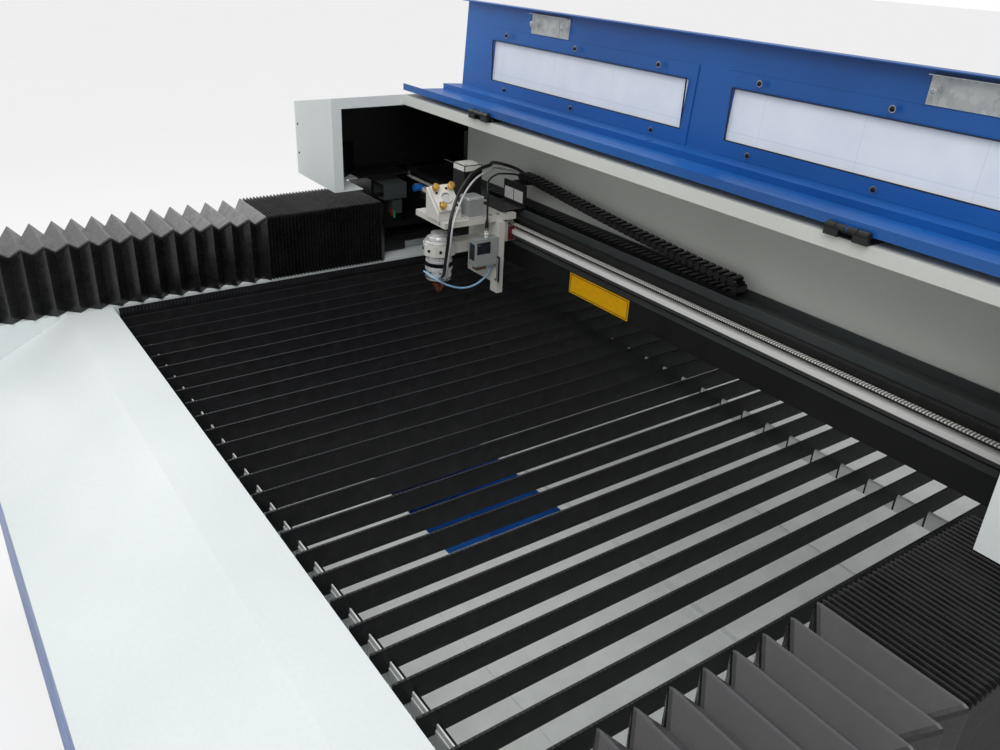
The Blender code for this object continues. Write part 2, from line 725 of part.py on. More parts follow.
def beam():
    """A rectangular tube, open at both ends, with a welded lug for the belt idler."""
    y_low, y_high = front_y(BEAM_FRONT), front_y(BEAM_FRONT + BEAM_DEPTH)
    low = (-BEAM_HALF_LENGTH, y_low, BEAM_BOTTOM)
    made = block("gantry_beam", low, (BEAM_HALF_LENGTH, y_high, BEAM_TOP), BLACK)
    inner_low = (-BEAM_HALF_LENGTH - OVERRUN, y_low + BEAM_WALL, BEAM_BOTTOM + BEAM_WALL)
    inner_high = (BEAM_HALF_LENGTH + OVERRUN, y_high - BEAM_WALL, BEAM_TOP - BEAM_WALL)
    cut_blocks(made, [(inner_low, inner_high)])
    lug_low = (X_IDLER_X - IDLER_LUG_HALF, y_low - IDLER_LUG, IDLER_LUG_BOTTOM)
    lug_high = (X_IDLER_X + IDLER_LUG_HALF, y_low + BEAM_WALL / 2, IDLER_LUG_TOP)
    return fuse_blocks(made, [(lug_low, lug_high)])


def gantry_foot(name, side, support_length):
    """The foot under one end of the beam: bearing blocks, body, upright and box carrier."""
    top = BEAM_BOTTOM - GAP
    upright_top = BOX_BOTTOM - GAP - SUPPORT_HEIGHT + SUPPORT_LAP
    outline = [
        (front_y(FOOT_FRONT), FOOT_BOTTOM),
        (front_y(FOOT_REAR), FOOT_BOTTOM),
        (front_y(FOOT_REAR), top),
        (front_y(FOOT_FRONT + FOOT_UPRIGHT), top),
        (front_y(FOOT_FRONT + FOOT_UPRIGHT), upright_top),
        (front_y(FOOT_FRONT), upright_top),
    ]
    x = sorted((side * FOOT_INNER, side * FOOT_OUTER))
    foot = prism(name, outline, "X", x[0], x[1], BLACK)
    pocket_low = (x[0] - OVERRUN, front_y(FOOT_FRONT + FOOT_PLATE), FOOT_BOTTOM + FOOT_PLATE)
    pocket_rear = SHAFT_SETBACK - PINION_RADIUS
    pocket_high = (x[1] + OVERRUN, front_y(pocket_rear), top - FOOT_PLATE)
    cut_blocks(foot, [(pocket_low, pocket_high)])
    centre = (None, front_y(SHAFT_SETBACK), SHAFT_Z)
    cut_rod(foot, "X", centre, SHAFT_HOLE_RADIUS, x[0] - OVERRUN, x[1] + OVERRUN, ROUND_SEGMENTS)
    rail = side * Y_RAIL_X
    skirt = LEDGE_TOP + BLOCK_SKIRT
    for start in (FOOT_FRONT, FOOT_REAR - BLOCK_LENGTH):
        low = (rail - BLOCK_WIDTH / 2, front_y(start), skirt)
        high = (rail + BLOCK_WIDTH / 2, front_y(start + BLOCK_LENGTH), FOOT_BOTTOM + FOOT_PLATE / 2)
        fuse_blocks(foot, [(low, high)])
    groove = Y_RAIL_WIDTH / 2 + GAP
    low = (rail - groove, front_y(FOOT_FRONT) - OVERRUN, skirt - OVERRUN)
    high = (rail + groove, front_y(FOOT_REAR) + OVERRUN, LEDGE_TOP + GAP + Y_RAIL_HEIGHT + GAP)
    cut_blocks(foot, [(low, high)])
    x = sorted((side * SUPPORT_OUTER, side * (SUPPORT_OUTER - support_length)))
    y_low, y_high = front_y(SUPPORT_START), front_y(SUPPORT_START + SUPPORT_DEPTH)
    top = BOX_BOTTOM - GAP
    fuse_blocks(foot, [((x[0], y_low, top - SUPPORT_HEIGHT), (x[1], y_high, top))])
    inner_low = (x[0] - OVERRUN, y_low + SUPPORT_WALL, top - SUPPORT_HEIGHT + SUPPORT_WALL)
    inner_high = (x[1] + OVERRUN, y_high - SUPPORT_WALL, top - SUPPORT_WALL)
    return cut_blocks(foot, [(inner_low, inner_high)])


def cross_shaft():
    """The shaft that drives both sides at once, with a pinion at each end."""
    inner = Y_RACK_X - Y_RACK_WIDTH / 2
    outer = Y_RACK_X + Y_RACK_WIDTH / 2
    half = [(SHAFT_RADIUS, inner), (PINION_RADIUS, inner), (PINION_RADIUS, outer)]
    half += [(SHAFT_RADIUS, outer), (SHAFT_RADIUS, SHAFT_END), (0, SHAFT_END)]
    profile = [(r, -x) for r, x in reversed(half)] + half
    centre = (None, front_y(SHAFT_SETBACK), SHAFT_Z)
    origin = (0, front_y(SHAFT_SETBACK), SHAFT_Z)
    return turned("cross_shaft", profile, "X", centre, STEEL, ROUND_SEGMENTS, origin)


def gear_motor():
    """The gear motor of the Y drive, hung behind the beam with the shaft through it."""
    y = front_y(GEARBOX_FRONT)
    low = (-GEARBOX_HALF, y, GEARBOX_BOTTOM)
    high = (GEARBOX_HALF, y + GEARBOX_DEPTH, GEARBOX_TOP)
    made = block("gear_motor", low, high, BLACK)
    z = GEARBOX_TOP - MOTOR_RADIUS
    centre = (None, y + MOTOR_RADIUS, z)
    fuse_rod(made, "X", centre, MOTOR_RADIUS, 0, GEARBOX_HALF + MOTOR_LENGTH, ROUND_SEGMENTS)
    hole = (None, front_y(SHAFT_SETBACK), SHAFT_Z)
    reach = GEARBOX_HALF + OVERRUN
    return cut_rod(made, "X", hole, SHAFT_HOLE_RADIUS, -reach, reach, ROUND_SEGMENTS)


# X axis: rail, belt loop, pulleys, motor, idler plate and the tray of the chain

X_RAIL_LOW_INSET = 0.080
X_RAIL_LOW = X_RAIL_LOW_INSET - BEAM_HALF_LENGTH
X_RAIL_HIGH_INSET = 0.140
X_RAIL_HIGH = BEAM_HALF_LENGTH - X_RAIL_HIGH_INSET
X_RAIL_DROP = 0.037
X_RAIL_BOTTOM = BEAM_TOP - X_RAIL_DROP
X_RAIL_WIDTH = 0.015
X_RAIL_HEIGHT = 0.0147
X_BELT_WIDTH = 0.010
X_BELT_THICKNESS = 0.002
X_BELT_REACH = 0.0155
X_BELT_FRONT = BEAM_FRONT - X_BELT_REACH
X_PULLEY_RADIUS = 0.0075
X_PULLEY_FLANGE = 0.0105
X_PULLEY_DROP = 0.0015
X_PULLEY_Z = BEAM_TOP - X_PULLEY_DROP
X_IDLER_INSET = 0.040
X_IDLER_X = X_IDLER_INSET - BEAM_HALF_LENGTH
X_DRIVE_INSET = 0.105
X_DRIVE_X = BEAM_HALF_LENGTH - X_DRIVE_INSET
X_FLANGE_THICKNESS = 0.001
X_MOTOR_SIZE = 0.057
X_MOTOR_LENGTH = 0.056
X_MOTOR_REACH = 0.019
X_MOTOR_FACE = BEAM_FRONT - X_MOTOR_REACH
X_MOTOR_BRACKET_DROP = 0.033
X_MOTOR_BRACKET_BOTTOM = X_RAIL_BOTTOM - X_MOTOR_BRACKET_DROP
X_MOTOR_BRACKET_REACH = 0.056
X_MOTOR_BRACKET_START = BEAM_FRONT - X_MOTOR_BRACKET_REACH
IDLER_LUG = 0.0025
IDLER_LUG_HALF = 0.022
IDLER_LUG_DROP = 0.050
IDLER_LUG_BOTTOM = BEAM_TOP - IDLER_LUG_DROP
IDLER_LUG_RISE = 0.014
IDLER_LUG_TOP = BEAM_TOP + IDLER_LUG_RISE
BELT_SEGMENTS = 12


def belt_loop():
    """A flat loop round two pulleys of equal size."""
    inner = X_PULLEY_RADIUS + GAP
    bm = bmesh.new()
    rings = []
    for radius in (inner, inner + X_BELT_THICKNESS):
        path = []
        for x, begin in ((X_DRIVE_X, -math.pi / 2), (X_IDLER_X, math.pi / 2)):
            for k in range(BELT_SEGMENTS + 1):
                angle = begin + math.pi * k / BELT_SEGMENTS
                path.append((x + radius * math.cos(angle), X_PULLEY_Z + radius * math.sin(angle)))
        for y in (front_y(X_BELT_FRONT), front_y(X_BELT_FRONT + X_BELT_WIDTH)):
            rings.append([bm.verts.new((x, y, z)) for x, z in path])
    inner_front, inner_rear, outer_front, outer_rear = rings
    count = len(inner_front)
    pairs = (
        (inner_front, inner_rear),
        (inner_rear, outer_rear),
        (outer_rear, outer_front),
        (outer_front, inner_front),
    )
    for a, b in pairs:
        for k in range(count):
            after = (k + 1) % count
            bm.faces.new((a[k], a[after], b[after], b[k]))
    return to_object("x_belt", bm, URETHANE)


def x_pulley(name, x, hub_low, hub_high):
    """A flanged pulley on a short hub along Y."""
    low, high = front_y(X_BELT_FRONT), front_y(X_BELT_FRONT + X_BELT_WIDTH)
    hub = X_PULLEY_RADIUS / 2
    lip = GAP + X_FLANGE_THICKNESS
    profile = [
        (0, hub_low),
        (hub, hub_low),
        (hub, low - lip),
        (X_PULLEY_FLANGE, low - lip),
        (X_PULLEY_FLANGE, low - GAP),
        (X_PULLEY_RADIUS, low - GAP),
        (X_PULLEY_RADIUS, high + GAP),
        (hub, high + GAP),
        (hub, hub_high),
        (0, hub_high),
    ]
    centre = (x, None, X_PULLEY_Z)
    origin = (x, (low + high) / 2, X_PULLEY_Z)
    return turned(name, profile, "Y", centre, ALUMINIUM, SMALL_SEGMENTS, origin)


def x_axis():
    face = front_y(BEAM_FRONT) - GAP
    low = (X_RAIL_LOW, face - X_RAIL_HEIGHT, X_RAIL_BOTTOM)
    block("x_rail", low, (X_RAIL_HIGH, face, X_RAIL_BOTTOM + X_RAIL_WIDTH), STEEL)
    belt_loop()
    motor_face = front_y(X_MOTOR_FACE)
    belt_rear = front_y(X_BELT_FRONT + X_BELT_WIDTH)
    x_pulley("x_drive_pulley", X_DRIVE_X, motor_face + GAP, belt_rear + X_FLANGE_THICKNESS)
    lug_front = front_y(BEAM_FRONT) - IDLER_LUG
    belt_front = front_y(X_BELT_FRONT)
    hub_front = belt_front - X_FLANGE_THICKNESS - 2 * GAP
    x_pulley("x_idler_pulley", X_IDLER_X, hub_front, lug_front - GAP)
    half = X_MOTOR_SIZE / 2
    low = (X_DRIVE_X - half, motor_face - X_MOTOR_LENGTH, X_PULLEY_Z - half)
    motor = block("x_motor", low, (X_DRIVE_X + half, motor_face, X_PULLEY_Z + half), BLACK)
    bracket_y = front_y(X_MOTOR_BRACKET_START)
    low = (X_DRIVE_X - half, bracket_y, X_MOTOR_BRACKET_BOTTOM)
    mid = (X_DRIVE_X + half, motor_face, X_PULLEY_Z)
    foot_low = (X_DRIVE_X - half, bracket_y, X_MOTOR_BRACKET_BOTTOM)
    foot_top = X_RAIL_BOTTOM - JOINT_GAP
    fuse_blocks(motor, [(low, mid), (foot_low, (X_DRIVE_X + half, face, foot_top))])


# Cable chain and its tray on top of the beam

CHAIN_TRAY_LOW_INSET = 0.240
CHAIN_TRAY_LOW = CHAIN_TRAY_LOW_INSET - BEAM_HALF_LENGTH
CHAIN_TRAY_HIGH_INSET = 0.180
CHAIN_TRAY_HIGH = BEAM_HALF_LENGTH - CHAIN_TRAY_HIGH_INSET
CHAIN_TRAY_GAP = 0.014
CHAIN_TRAY_START = BEAM_FRONT + CHAIN_TRAY_GAP
CHAIN_TRAY_WIDTH = 0.060
CHAIN_TRAY_WALL = 0.016
CHAIN_TRAY_SHEET = 0.0015
CHAIN_WIDTH = 0.026
CHAIN_HEIGHT = 0.015
CHAIN_OFFSET = 0.032
CHAIN_SETBACK = CHAIN_TRAY_START + CHAIN_OFFSET
CHAIN_FIXED_INSET = 0.080
CHAIN_FIXED_X = CHAIN_TRAY_LOW + CHAIN_FIXED_INSET
CHAIN_BEND_X = 0.188
CHAIN_BEND_RADIUS = 0.0125
CHAIN_MOVING_OFFSET = 0.013
CHAIN_MOVING_X = NOZZLE_X - CHAIN_MOVING_OFFSET
CHAIN_MOVING_RISE = 0.0676
CHAIN_MOVING_Z = BOX_BOTTOM + CHAIN_MOVING_RISE
CHAIN_RISE_SHARE = 0.93
CHAIN_RISE_POWER = 1.4
CHAIN_LINK = 0.0150
CHAIN_GROOVE_DEPTH = 0.0020
CHAIN_GROOVE_SHARE = 0.22


def chain_tray():
    """A shallow channel on the beam in which the lower run of the chain lies."""
    base = BEAM_TOP + GAP
    y_low, y_high = front_y(CHAIN_TRAY_START), front_y(CHAIN_TRAY_START + CHAIN_TRAY_WIDTH)
    top = base + CHAIN_TRAY_WALL
    path = [(y_high, top), (y_high, base), (y_low, base), (y_low, top)]
    outline = folded_outline(list(reversed(path)), CHAIN_TRAY_SHEET)
    return prism("chain_tray", outline, "X", CHAIN_TRAY_LOW, CHAIN_TRAY_HIGH, GREY)


def chain_line():
    """Centre line of the chain from its fixed end round the bend to the moving end."""
    z_low = BEAM_TOP + GAP + CHAIN_TRAY_SHEET + GAP + CHAIN_HEIGHT / 2
    z_high = z_low + 2 * CHAIN_BEND_RADIUS
    lower = CHAIN_BEND_X - CHAIN_FIXED_X
    upper = CHAIN_BEND_X - CHAIN_MOVING_X
    arc = math.pi * CHAIN_BEND_RADIUS
    total = lower + arc + upper

    def place(s):
        if s < lower:
            return Vector((CHAIN_FIXED_X + s, z_low)), Vector((1, 0))
        if s < lower + arc:
            angle = (s - lower) / CHAIN_BEND_RADIUS
            swing = Vector((math.sin(angle), 1 - math.cos(angle))) * CHAIN_BEND_RADIUS
            return Vector((CHAIN_BEND_X, z_low)) + swing, Vector((math.cos(angle), math.sin(angle)))
        reach = s - lower - arc
        climb = CHAIN_RISE_SHARE * upper
        share = min(reach / climb, 1)
        rise = (CHAIN_MOVING_Z - z_high) * share ** CHAIN_RISE_POWER
        slope = CHAIN_RISE_POWER * rise / reach if 0 < reach < climb else 0
        return Vector((CHAIN_BEND_X - reach, z_high + rise)), Vector((-1, slope)).normalized()

    return place, total


def drag_chain():
    """Jointed links: the outline steps in at each joint, on both sides of the line."""
    place, total = chain_line()
    count = round(total / CHAIN_LINK)
    link = total / count
    groove = link * CHAIN_GROOVE_SHARE
    outer, inner = [], []
    for k in range(count):
        for offset, depth in ((0, CHAIN_GROOVE_DEPTH), (groove, 0), (link - groove, 0)):
            point, way = place(k * link + offset)
            side = Vector((way.y, -way.x))
            outer.append(tuple(point + side * (CHAIN_HEIGHT / 2 - depth)))
            inner.append(tuple(point - side * (CHAIN_HEIGHT / 2 - depth)))
    outline = outer + list(reversed(inner))
    y_low = front_y(CHAIN_SETBACK) - CHAIN_WIDTH / 2
    return prism("drag_chain", outline, "Y", y_low, y_low + CHAIN_WIDTH, NYLON)


# Housing, end boxes and what stands in them

TUBE_RADIUS = 0.040
TUBE_LEFT_CLEARANCE = 0.0725
TUBE_LOW_X = BAY_LEFT + TUBE_LEFT_CLEARANCE
TUBE_RIGHT_CLEARANCE = 0.0175
TUBE_HIGH_X = BAY_RIGHT - TUBE_RIGHT_CLEARANCE
TUBE_GAP = 0.107
TUBE_SETBACK = BACK_WALL + TUBE_GAP
TUBE_NECK_RADIUS = 0.015
TUBE_NECK_LENGTH = 0.035
CRADLE_INSET = 0.180
CRADLE_LOW_X = TUBE_LOW_X + CRADLE_INSET
CRADLE_HIGH_X = TUBE_HIGH_X - CRADLE_INSET
CRADLE_WIDTH = 0.030
CRADLE_BASE = 0.003
CRADLE_HALF_DEPTH = 0.048
HOUSING_SHELF_GAP = 0.055
HOUSING_SHELF_START = BACK_WALL + HOUSING_SHELF_GAP
BOX_OPENING_GAP = 0.068
BOX_OPENING_START = HOUSING_FRONT + BOX_OPENING_GAP
BOX_OPENING_REAR_GAP = 0.150
BOX_OPENING_END = HOUSING_REAR - BOX_OPENING_REAR_GAP
BOX_OPENING_INSET = 0.1075
BOX_OPENING_EDGE = HALF_WIDTH - BOX_OPENING_INSET
BOX_OUTER_OPENING_GAP = 0.115
BOX_OUTER_OPENING_START = BOX_OPENING_START + BOX_OUTER_OPENING_GAP
BOX_OUTER_OPENING_INSET = 0.0225
BOX_OUTER_OPENING_EDGE = HALF_WIDTH - BOX_OUTER_OPENING_INSET
HINGE_AXIS_OVERHANG = 0.004
HINGE_AXIS_SETBACK = HOUSING_RIM - HINGE_AXIS_OVERHANG
HINGE_AXIS_RISE = 0.012
HINGE_AXIS_Z = HOUSING_TOP + HINGE_AXIS_RISE
HINGE_RADIUS = 0.0045
HINGE_LENGTH = 0.063
HINGE_LEAF = 0.0015
HINGE_LEAF_DEPTH = 0.030
HINGE_SEGMENTS = 8


def housing():
    """Top, rim, rear wall and back wall of the bay, folded as one shell."""
    foot = BEAM_TOP + GAP
    inside = HOUSING_TOP - SHEET
    outline = [
        (HOUSING_RIM, HOUSING_TOP - RIM_HEIGHT),
        (HOUSING_RIM, HOUSING_TOP),
        (HOUSING_REAR, HOUSING_TOP),
        (HOUSING_REAR, foot),
        (HOUSING_SHELF_START, foot),
        (HOUSING_SHELF_START, foot + SHEET),
        (HOUSING_REAR - SHEET, foot + SHEET),
        (HOUSING_REAR - SHEET, inside),
        (BACK_WALL + SHEET, inside),
        (BACK_WALL + SHEET, foot),
        (BACK_WALL, foot),
        (BACK_WALL, inside),
        (HOUSING_RIM + SHEET, inside),
        (HOUSING_RIM + SHEET, HOUSING_TOP - RIM_HEIGHT),
    ]
    outline = [(front_y(y), z) for y, z in outline]
    return prism("housing_shell", outline, "X", BAY_LEFT + GAP, BAY_RIGHT - GAP, WHITE)


def end_box(name, side, inner_edge):
    """A sheet box over one end of the gantry, open towards the bay inside a flange."""
    outer = side * HALF_WIDTH
    profile = [
        (outer, BOX_BOTTOM),
        (outer, HOUSING_EDGE_TOP),
        (inner_edge, HOUSING_TOP),
        (inner_edge, BOX_BOTTOM),
    ]
    y_low, y_high = front_y(HOUSING_FRONT), front_y(HOUSING_REAR)
    made = prism(name, profile, "Y", y_low, y_high, WHITE)
    wall = side * SHEET
    hollow = [
        (outer - wall, BOX_BOTTOM + SHEET),
        (outer - wall, HOUSING_EDGE_TOP - SHEET),
        (inner_edge + wall, HOUSING_TOP - SHEET),
        (inner_edge + wall, BOX_BOTTOM + SHEET),
    ]
    bm = bmesh.new()
    add_prism(bm, hollow, "Y", y_low + SHEET, y_high - SHEET)
    combine(made, tool(bm), "DIFFERENCE")
    x = sorted((inner_edge - side * OVERRUN, inner_edge + side * OVERRUN))
    low = (x[0], y_low + BOX_FLANGE, BOX_BOTTOM + SHEET)
    return cut_blocks(made, [(low, (x[1], y_high - BOX_FLANGE, HOUSING_TOP - BOX_FLANGE))])


def end_boxes():
    left = end_box("left_end_box", -1, BAY_LEFT)
    below, above = BOX_BOTTOM - OVERRUN, BOX_BOTTOM + SHEET + OVERRUN / 2
    low = (-BOX_OPENING_EDGE, front_y(BOX_OPENING_START), below)
    high = (BAY_LEFT + OVERRUN, front_y(BOX_OPENING_END), above)
    outer_low = (-BOX_OUTER_OPENING_EDGE, front_y(BOX_OUTER_OPENING_START), below)
    outer_high = (-BOX_OPENING_EDGE + OVERRUN, front_y(BOX_OPENING_END), above)
    cut_blocks(left, [(low, high), (outer_low, outer_high)])
    end_box("right_end_box", 1, BAY_RIGHT)


def laser_tube():
    """The long glass tube with a neck at each end, and the cradle that holds it."""
    neck = TUBE_NECK_LENGTH
    profile = [
        (0, TUBE_LOW_X),
        (TUBE_NECK_RADIUS, TUBE_LOW_X),
        (TUBE_NECK_RADIUS, TUBE_LOW_X + neck),
        (TUBE_RADIUS, TUBE_LOW_X + 2 * neck),
        (TUBE_RADIUS, TUBE_HIGH_X - 2 * neck),
        (TUBE_NECK_RADIUS, TUBE_HIGH_X - neck),
        (TUBE_NECK_RADIUS, TUBE_HIGH_X),
        (0, TUBE_HIGH_X),
    ]
    y = front_y(TUBE_SETBACK)
    turned("laser_tube", profile, "X", (None, y, LASER_HEIGHT), GLASS, ROUND_SEGMENTS)
    base = BEAM_TOP + GAP + SHEET + GAP
    low = (CRADLE_LOW_X, y - CRADLE_HALF_DEPTH, base)
    high = (CRADLE_HIGH_X, y + CRADLE_HALF_DEPTH, base + CRADLE_BASE)
    cradle = block("tube_cradle", low, high, ZINC)
    for x in (CRADLE_LOW_X, CRADLE_HIGH_X - CRADLE_WIDTH):
        top = (x + CRADLE_WIDTH, y + CRADLE_HALF_DEPTH, LASER_HEIGHT)
        fuse_blocks(cradle, [((x, y - CRADLE_HALF_DEPTH, base), top)])
    centre = (None, y, LASER_HEIGHT)
    reach = (CRADLE_LOW_X - OVERRUN, CRADLE_HIGH_X + OVERRUN)
    return cut_rod(cradle, "X", centre, TUBE_RADIUS + GAP, *reach, ROUND_SEGMENTS)


MIRROR_INSET = 0.0725
MIRROR_X = MIRROR_INSET - HALF_WIDTH
MIRROR_FOOT_HALF = 0.022
MIRROR_PLATE_HALF = 0.024


def corner_mirror(name, setback, turn):
    """A three-cornered post whose long face stands at 45 degrees and turns the beam."""
    x, y = MIRROR_X, front_y(setback)
    base = BOX_BOTTOM + SHEET + GAP
    half = MIRROR_FOOT_HALF
    outline = [(-half, -half), (half, -half), (-half, half)]
    outline = [(x + px, y + turn * py) for px, py in outline]
    top = LASER_HEIGHT + MIRROR_PLATE_HALF
    return prism(name, outline, "Z", base, top, ALUMINIUM)


# Lid with its windows, handles and hinges

LID_LEFT = BAY_LEFT + JOINT_GAP
LID_RIGHT = BAY_RIGHT - JOINT_GAP
LID_SHEET = 0.0015
LID_LIP_SETBACK = HINGE_AXIS_SETBACK + HINGE_RADIUS + GAP
LID_LIP_RISE = 0.012
LID_LIP_TOP = HINGE_AXIS_Z + LID_LIP_RISE
LID_WEB_DROP = 0.0015
LID_WEB_FRONT_Z = HINGE_AXIS_Z - LID_WEB_DROP
LID_WEB_DEPTH = 0.104
LID_WEB_REAR = HOUSING_RIM + LID_WEB_DEPTH
LID_WEB_LIFT = 0.007
LID_WEB_REAR_Z = HOUSING_TOP + LID_WEB_LIFT
LID_RISER_HEIGHT = 0.011
LID_RISER_TOP = LID_WEB_REAR_Z + LID_RISER_HEIGHT
LID_TREAD_FALL = 0.003
LID_TREAD_REAR_Z = LID_RISER_TOP - LID_TREAD_FALL
LID_TREAD_DEPTH = 0.050
LID_PANEL_SETBACK = LID_WEB_REAR + LID_TREAD_DEPTH
LID_PANEL_LEAN = 0.013
LID_PANEL_REAR = LID_PANEL_SETBACK + LID_PANEL_LEAN
LID_PANEL_HEIGHT = 0.177
LID_PANEL_TOP = LID_TREAD_REAR_Z + LID_PANEL_HEIGHT
LID_TOP_FLANGE = 0.020
WINDOW_LEFT_MARGIN = 0.096
WINDOW_RIGHT_MARGIN = 0.078
WINDOW_SPACING = 0.062
WINDOW_ROOM = LID_RIGHT - LID_LEFT - WINDOW_LEFT_MARGIN - WINDOW_RIGHT_MARGIN
WINDOW_FRAME_LENGTH = (WINDOW_ROOM - WINDOW_SPACING) / 2
WINDOW_FRAME_HEIGHT = 0.128
WINDOW_FRAME_LIFT = 0.002
WINDOW_FRAME_BOTTOM = LID_TREAD_REAR_Z + WINDOW_FRAME_LIFT
WINDOW_FRAME_THICKNESS = 0.0015
LEFT_WINDOW = LID_LEFT + WINDOW_LEFT_MARGIN
RIGHT_WINDOW = LEFT_WINDOW + WINDOW_FRAME_LENGTH + WINDOW_SPACING
WINDOW_STARTS = (LEFT_WINDOW, RIGHT_WINDOW)
LEFT_HINGE_OFFSET = 0.212
RIGHT_HINGE_OFFSET = 0.370
HINGE_PLACES = (LEFT_WINDOW + LEFT_HINGE_OFFSET, RIGHT_WINDOW + RIGHT_HINGE_OFFSET)
PANE_INSET = 0.018
PANE_LENGTH = WINDOW_FRAME_LENGTH - 2 * PANE_INSET
PANE_HEIGHT = 0.080
PANE_LIFT = 0.023
PANE_EDGE = 0.012
PANE_THICKNESS = 0.003
HANDLE_LENGTH = 0.120
HANDLE_HEIGHT = 0.038
HANDLE_THICKNESS = 0.0012
LEFT_HANDLE_OFFSET = 0.202
RIGHT_HANDLE_OFFSET = 0.393
HANDLE_MIDDLES = (LEFT_WINDOW + LEFT_HANDLE_OFFSET, RIGHT_WINDOW + RIGHT_HANDLE_OFFSET)
HANDLE_DROP = 0.0455
HANDLE_BOTTOM = LID_PANEL_TOP - HANDLE_DROP
HANDLE_LIP = 0.012


def panel_point(z, lift=0):
    """World Y on the lid's leaning panel at a height, lifted towards the front."""
    share = (z - LID_TREAD_REAR_Z) / (LID_PANEL_TOP - LID_TREAD_REAR_Z)
    return front_y(LID_PANEL_SETBACK + share * (LID_PANEL_REAR - LID_PANEL_SETBACK)) - lift


def panel_slab(low_z, high_z, near, far):
    """A slab parallel to the lid's panel: outline for a prism along X."""
    return [
        (panel_point(low_z, far), low_z),
        (panel_point(high_z, far), high_z),
        (panel_point(high_z, near), high_z),
        (panel_point(low_z, near), low_z),
    ]


def lid_shell():
    """One folded sheet: lip, web, riser, tread, leaning panel and top flange."""
    path = [
        (LID_LIP_SETBACK, LID_LIP_TOP),
        (LID_LIP_SETBACK, LID_WEB_FRONT_Z),
        (LID_WEB_REAR, LID_WEB_REAR_Z),
        (LID_WEB_REAR, LID_RISER_TOP),
        (LID_PANEL_SETBACK, LID_TREAD_REAR_Z),
        (LID_PANEL_REAR, LID_PANEL_TOP),
        (LID_PANEL_REAR - LID_TOP_FLANGE, LID_PANEL_TOP),
    ]
    outline = folded_outline([(front_y(y), z) for y, z in path], LID_SHEET)
    shell = prism("lid_shell", outline, "X", LID_LEFT, LID_RIGHT, BLUE)
    low_z = WINDOW_FRAME_BOTTOM + PANE_LIFT
    for start in WINDOW_STARTS:
        low_x = start + PANE_INSET
        slab = panel_slab(low_z, low_z + PANE_HEIGHT, -OVERRUN, OVERRUN)
        bm = bmesh.new()
        add_prism(bm, slab, "X", low_x, low_x + PANE_LENGTH)
        combine(shell, tool(bm), "DIFFERENCE")
    return shell


def window(name, start):
    """A raised frame round the opening, with the pane clamped behind the panel."""
    low_z, high_z = WINDOW_FRAME_BOTTOM, WINDOW_FRAME_BOTTOM + WINDOW_FRAME_HEIGHT
    near = LID_SHEET + GAP
    far = near + WINDOW_FRAME_THICKNESS
    slab = panel_slab(low_z, high_z, near, far)
    frame = prism(name + "_window_frame", slab, "X", start, start + WINDOW_FRAME_LENGTH, BLUE)
    hole_z = low_z + PANE_LIFT
    hole = panel_slab(hole_z, hole_z + PANE_HEIGHT, -OVERRUN, OVERRUN)
    bm = bmesh.new()
    low_x = start + PANE_INSET
    add_prism(bm, hole, "X", low_x, low_x + PANE_LENGTH)
    combine(frame, tool(bm), "DIFFERENCE")
    low_z, high_z = hole_z - PANE_EDGE, hole_z + PANE_HEIGHT + PANE_EDGE
    pane = panel_slab(low_z, high_z, -GAP - PANE_THICKNESS, -GAP)
    high_x = low_x + PANE_LENGTH + PANE_EDGE
    low_x -= PANE_EDGE
    prism(name + "_window_pane", pane, "X", low_x, high_x, ACRYLIC)


def handle(name, middle):
    """The zinc backing plate of a pull handle, with a lip folded along its top."""
    low_x, high_x = middle - HANDLE_LENGTH / 2, middle + HANDLE_LENGTH / 2
    near = LID_SHEET + GAP
    low_z, high_z = HANDLE_BOTTOM, HANDLE_BOTTOM + HANDLE_HEIGHT
    path = [
        (panel_point(low_z, near), low_z),
        (panel_point(high_z, near), high_z),
        (panel_point(high_z, near) - HANDLE_LIP, high_z),
    ]
    outline = folded_outline(path, HANDLE_THICKNESS)
    return prism(name, outline, "X", low_x, high_x, ZINC)


def hinge_leaf(name, middle):
    """The fixed leaf of a lid hinge on the housing's top, with the rolled knuckle."""
    low_x, high_x = middle - HINGE_LENGTH / 2, middle + HINGE_LENGTH / 2
    base = HOUSING_TOP + GAP
    y_axis = front_y(HINGE_AXIS_SETBACK)
    y_low = front_y(HOUSING_RIM) - HINGE_RADIUS
    made = block(
        name,
        (low_x, y_low, base),
        (high_x, front_y(HOUSING_RIM) + HINGE_LEAF_DEPTH, base + HINGE_LEAF),
        BLACK,
    )
    centre = (None, y_axis, HINGE_AXIS_Z)
    third = HINGE_LENGTH / 3
    for low, high in ((low_x, low_x + third), (high_x - third, high_x)):
        fuse_blocks(made, [((low, y_axis - HINGE_RADIUS, base), (high, y_axis + HINGE_LEAF, HINGE_AXIS_Z))])
        fuse_rod(made, "X", centre, HINGE_RADIUS, low, high, HINGE_SEGMENTS)
    return made


def lid_knuckles(shell):
    """Welds the middle knuckle of each hinge to the lid's lip."""
    y_axis = front_y(HINGE_AXIS_SETBACK)
    centre = (None, y_axis, HINGE_AXIS_Z)
    third = HINGE_LENGTH / 3
    for middle in HINGE_PLACES:
        low, high = middle - third / 2 + GAP, middle + third / 2 - GAP
        top = HINGE_AXIS_Z + HINGE_RADIUS
        span = ((low, y_axis, HINGE_AXIS_Z), (high, front_y(LID_LIP_SETBACK) + LID_SHEET / 2, top))
        fuse_blocks(shell, [span])
        fuse_rod(shell, "X", centre, HINGE_RADIUS, low, high, HINGE_SEGMENTS)
    return shell


# Carriage on the X rail

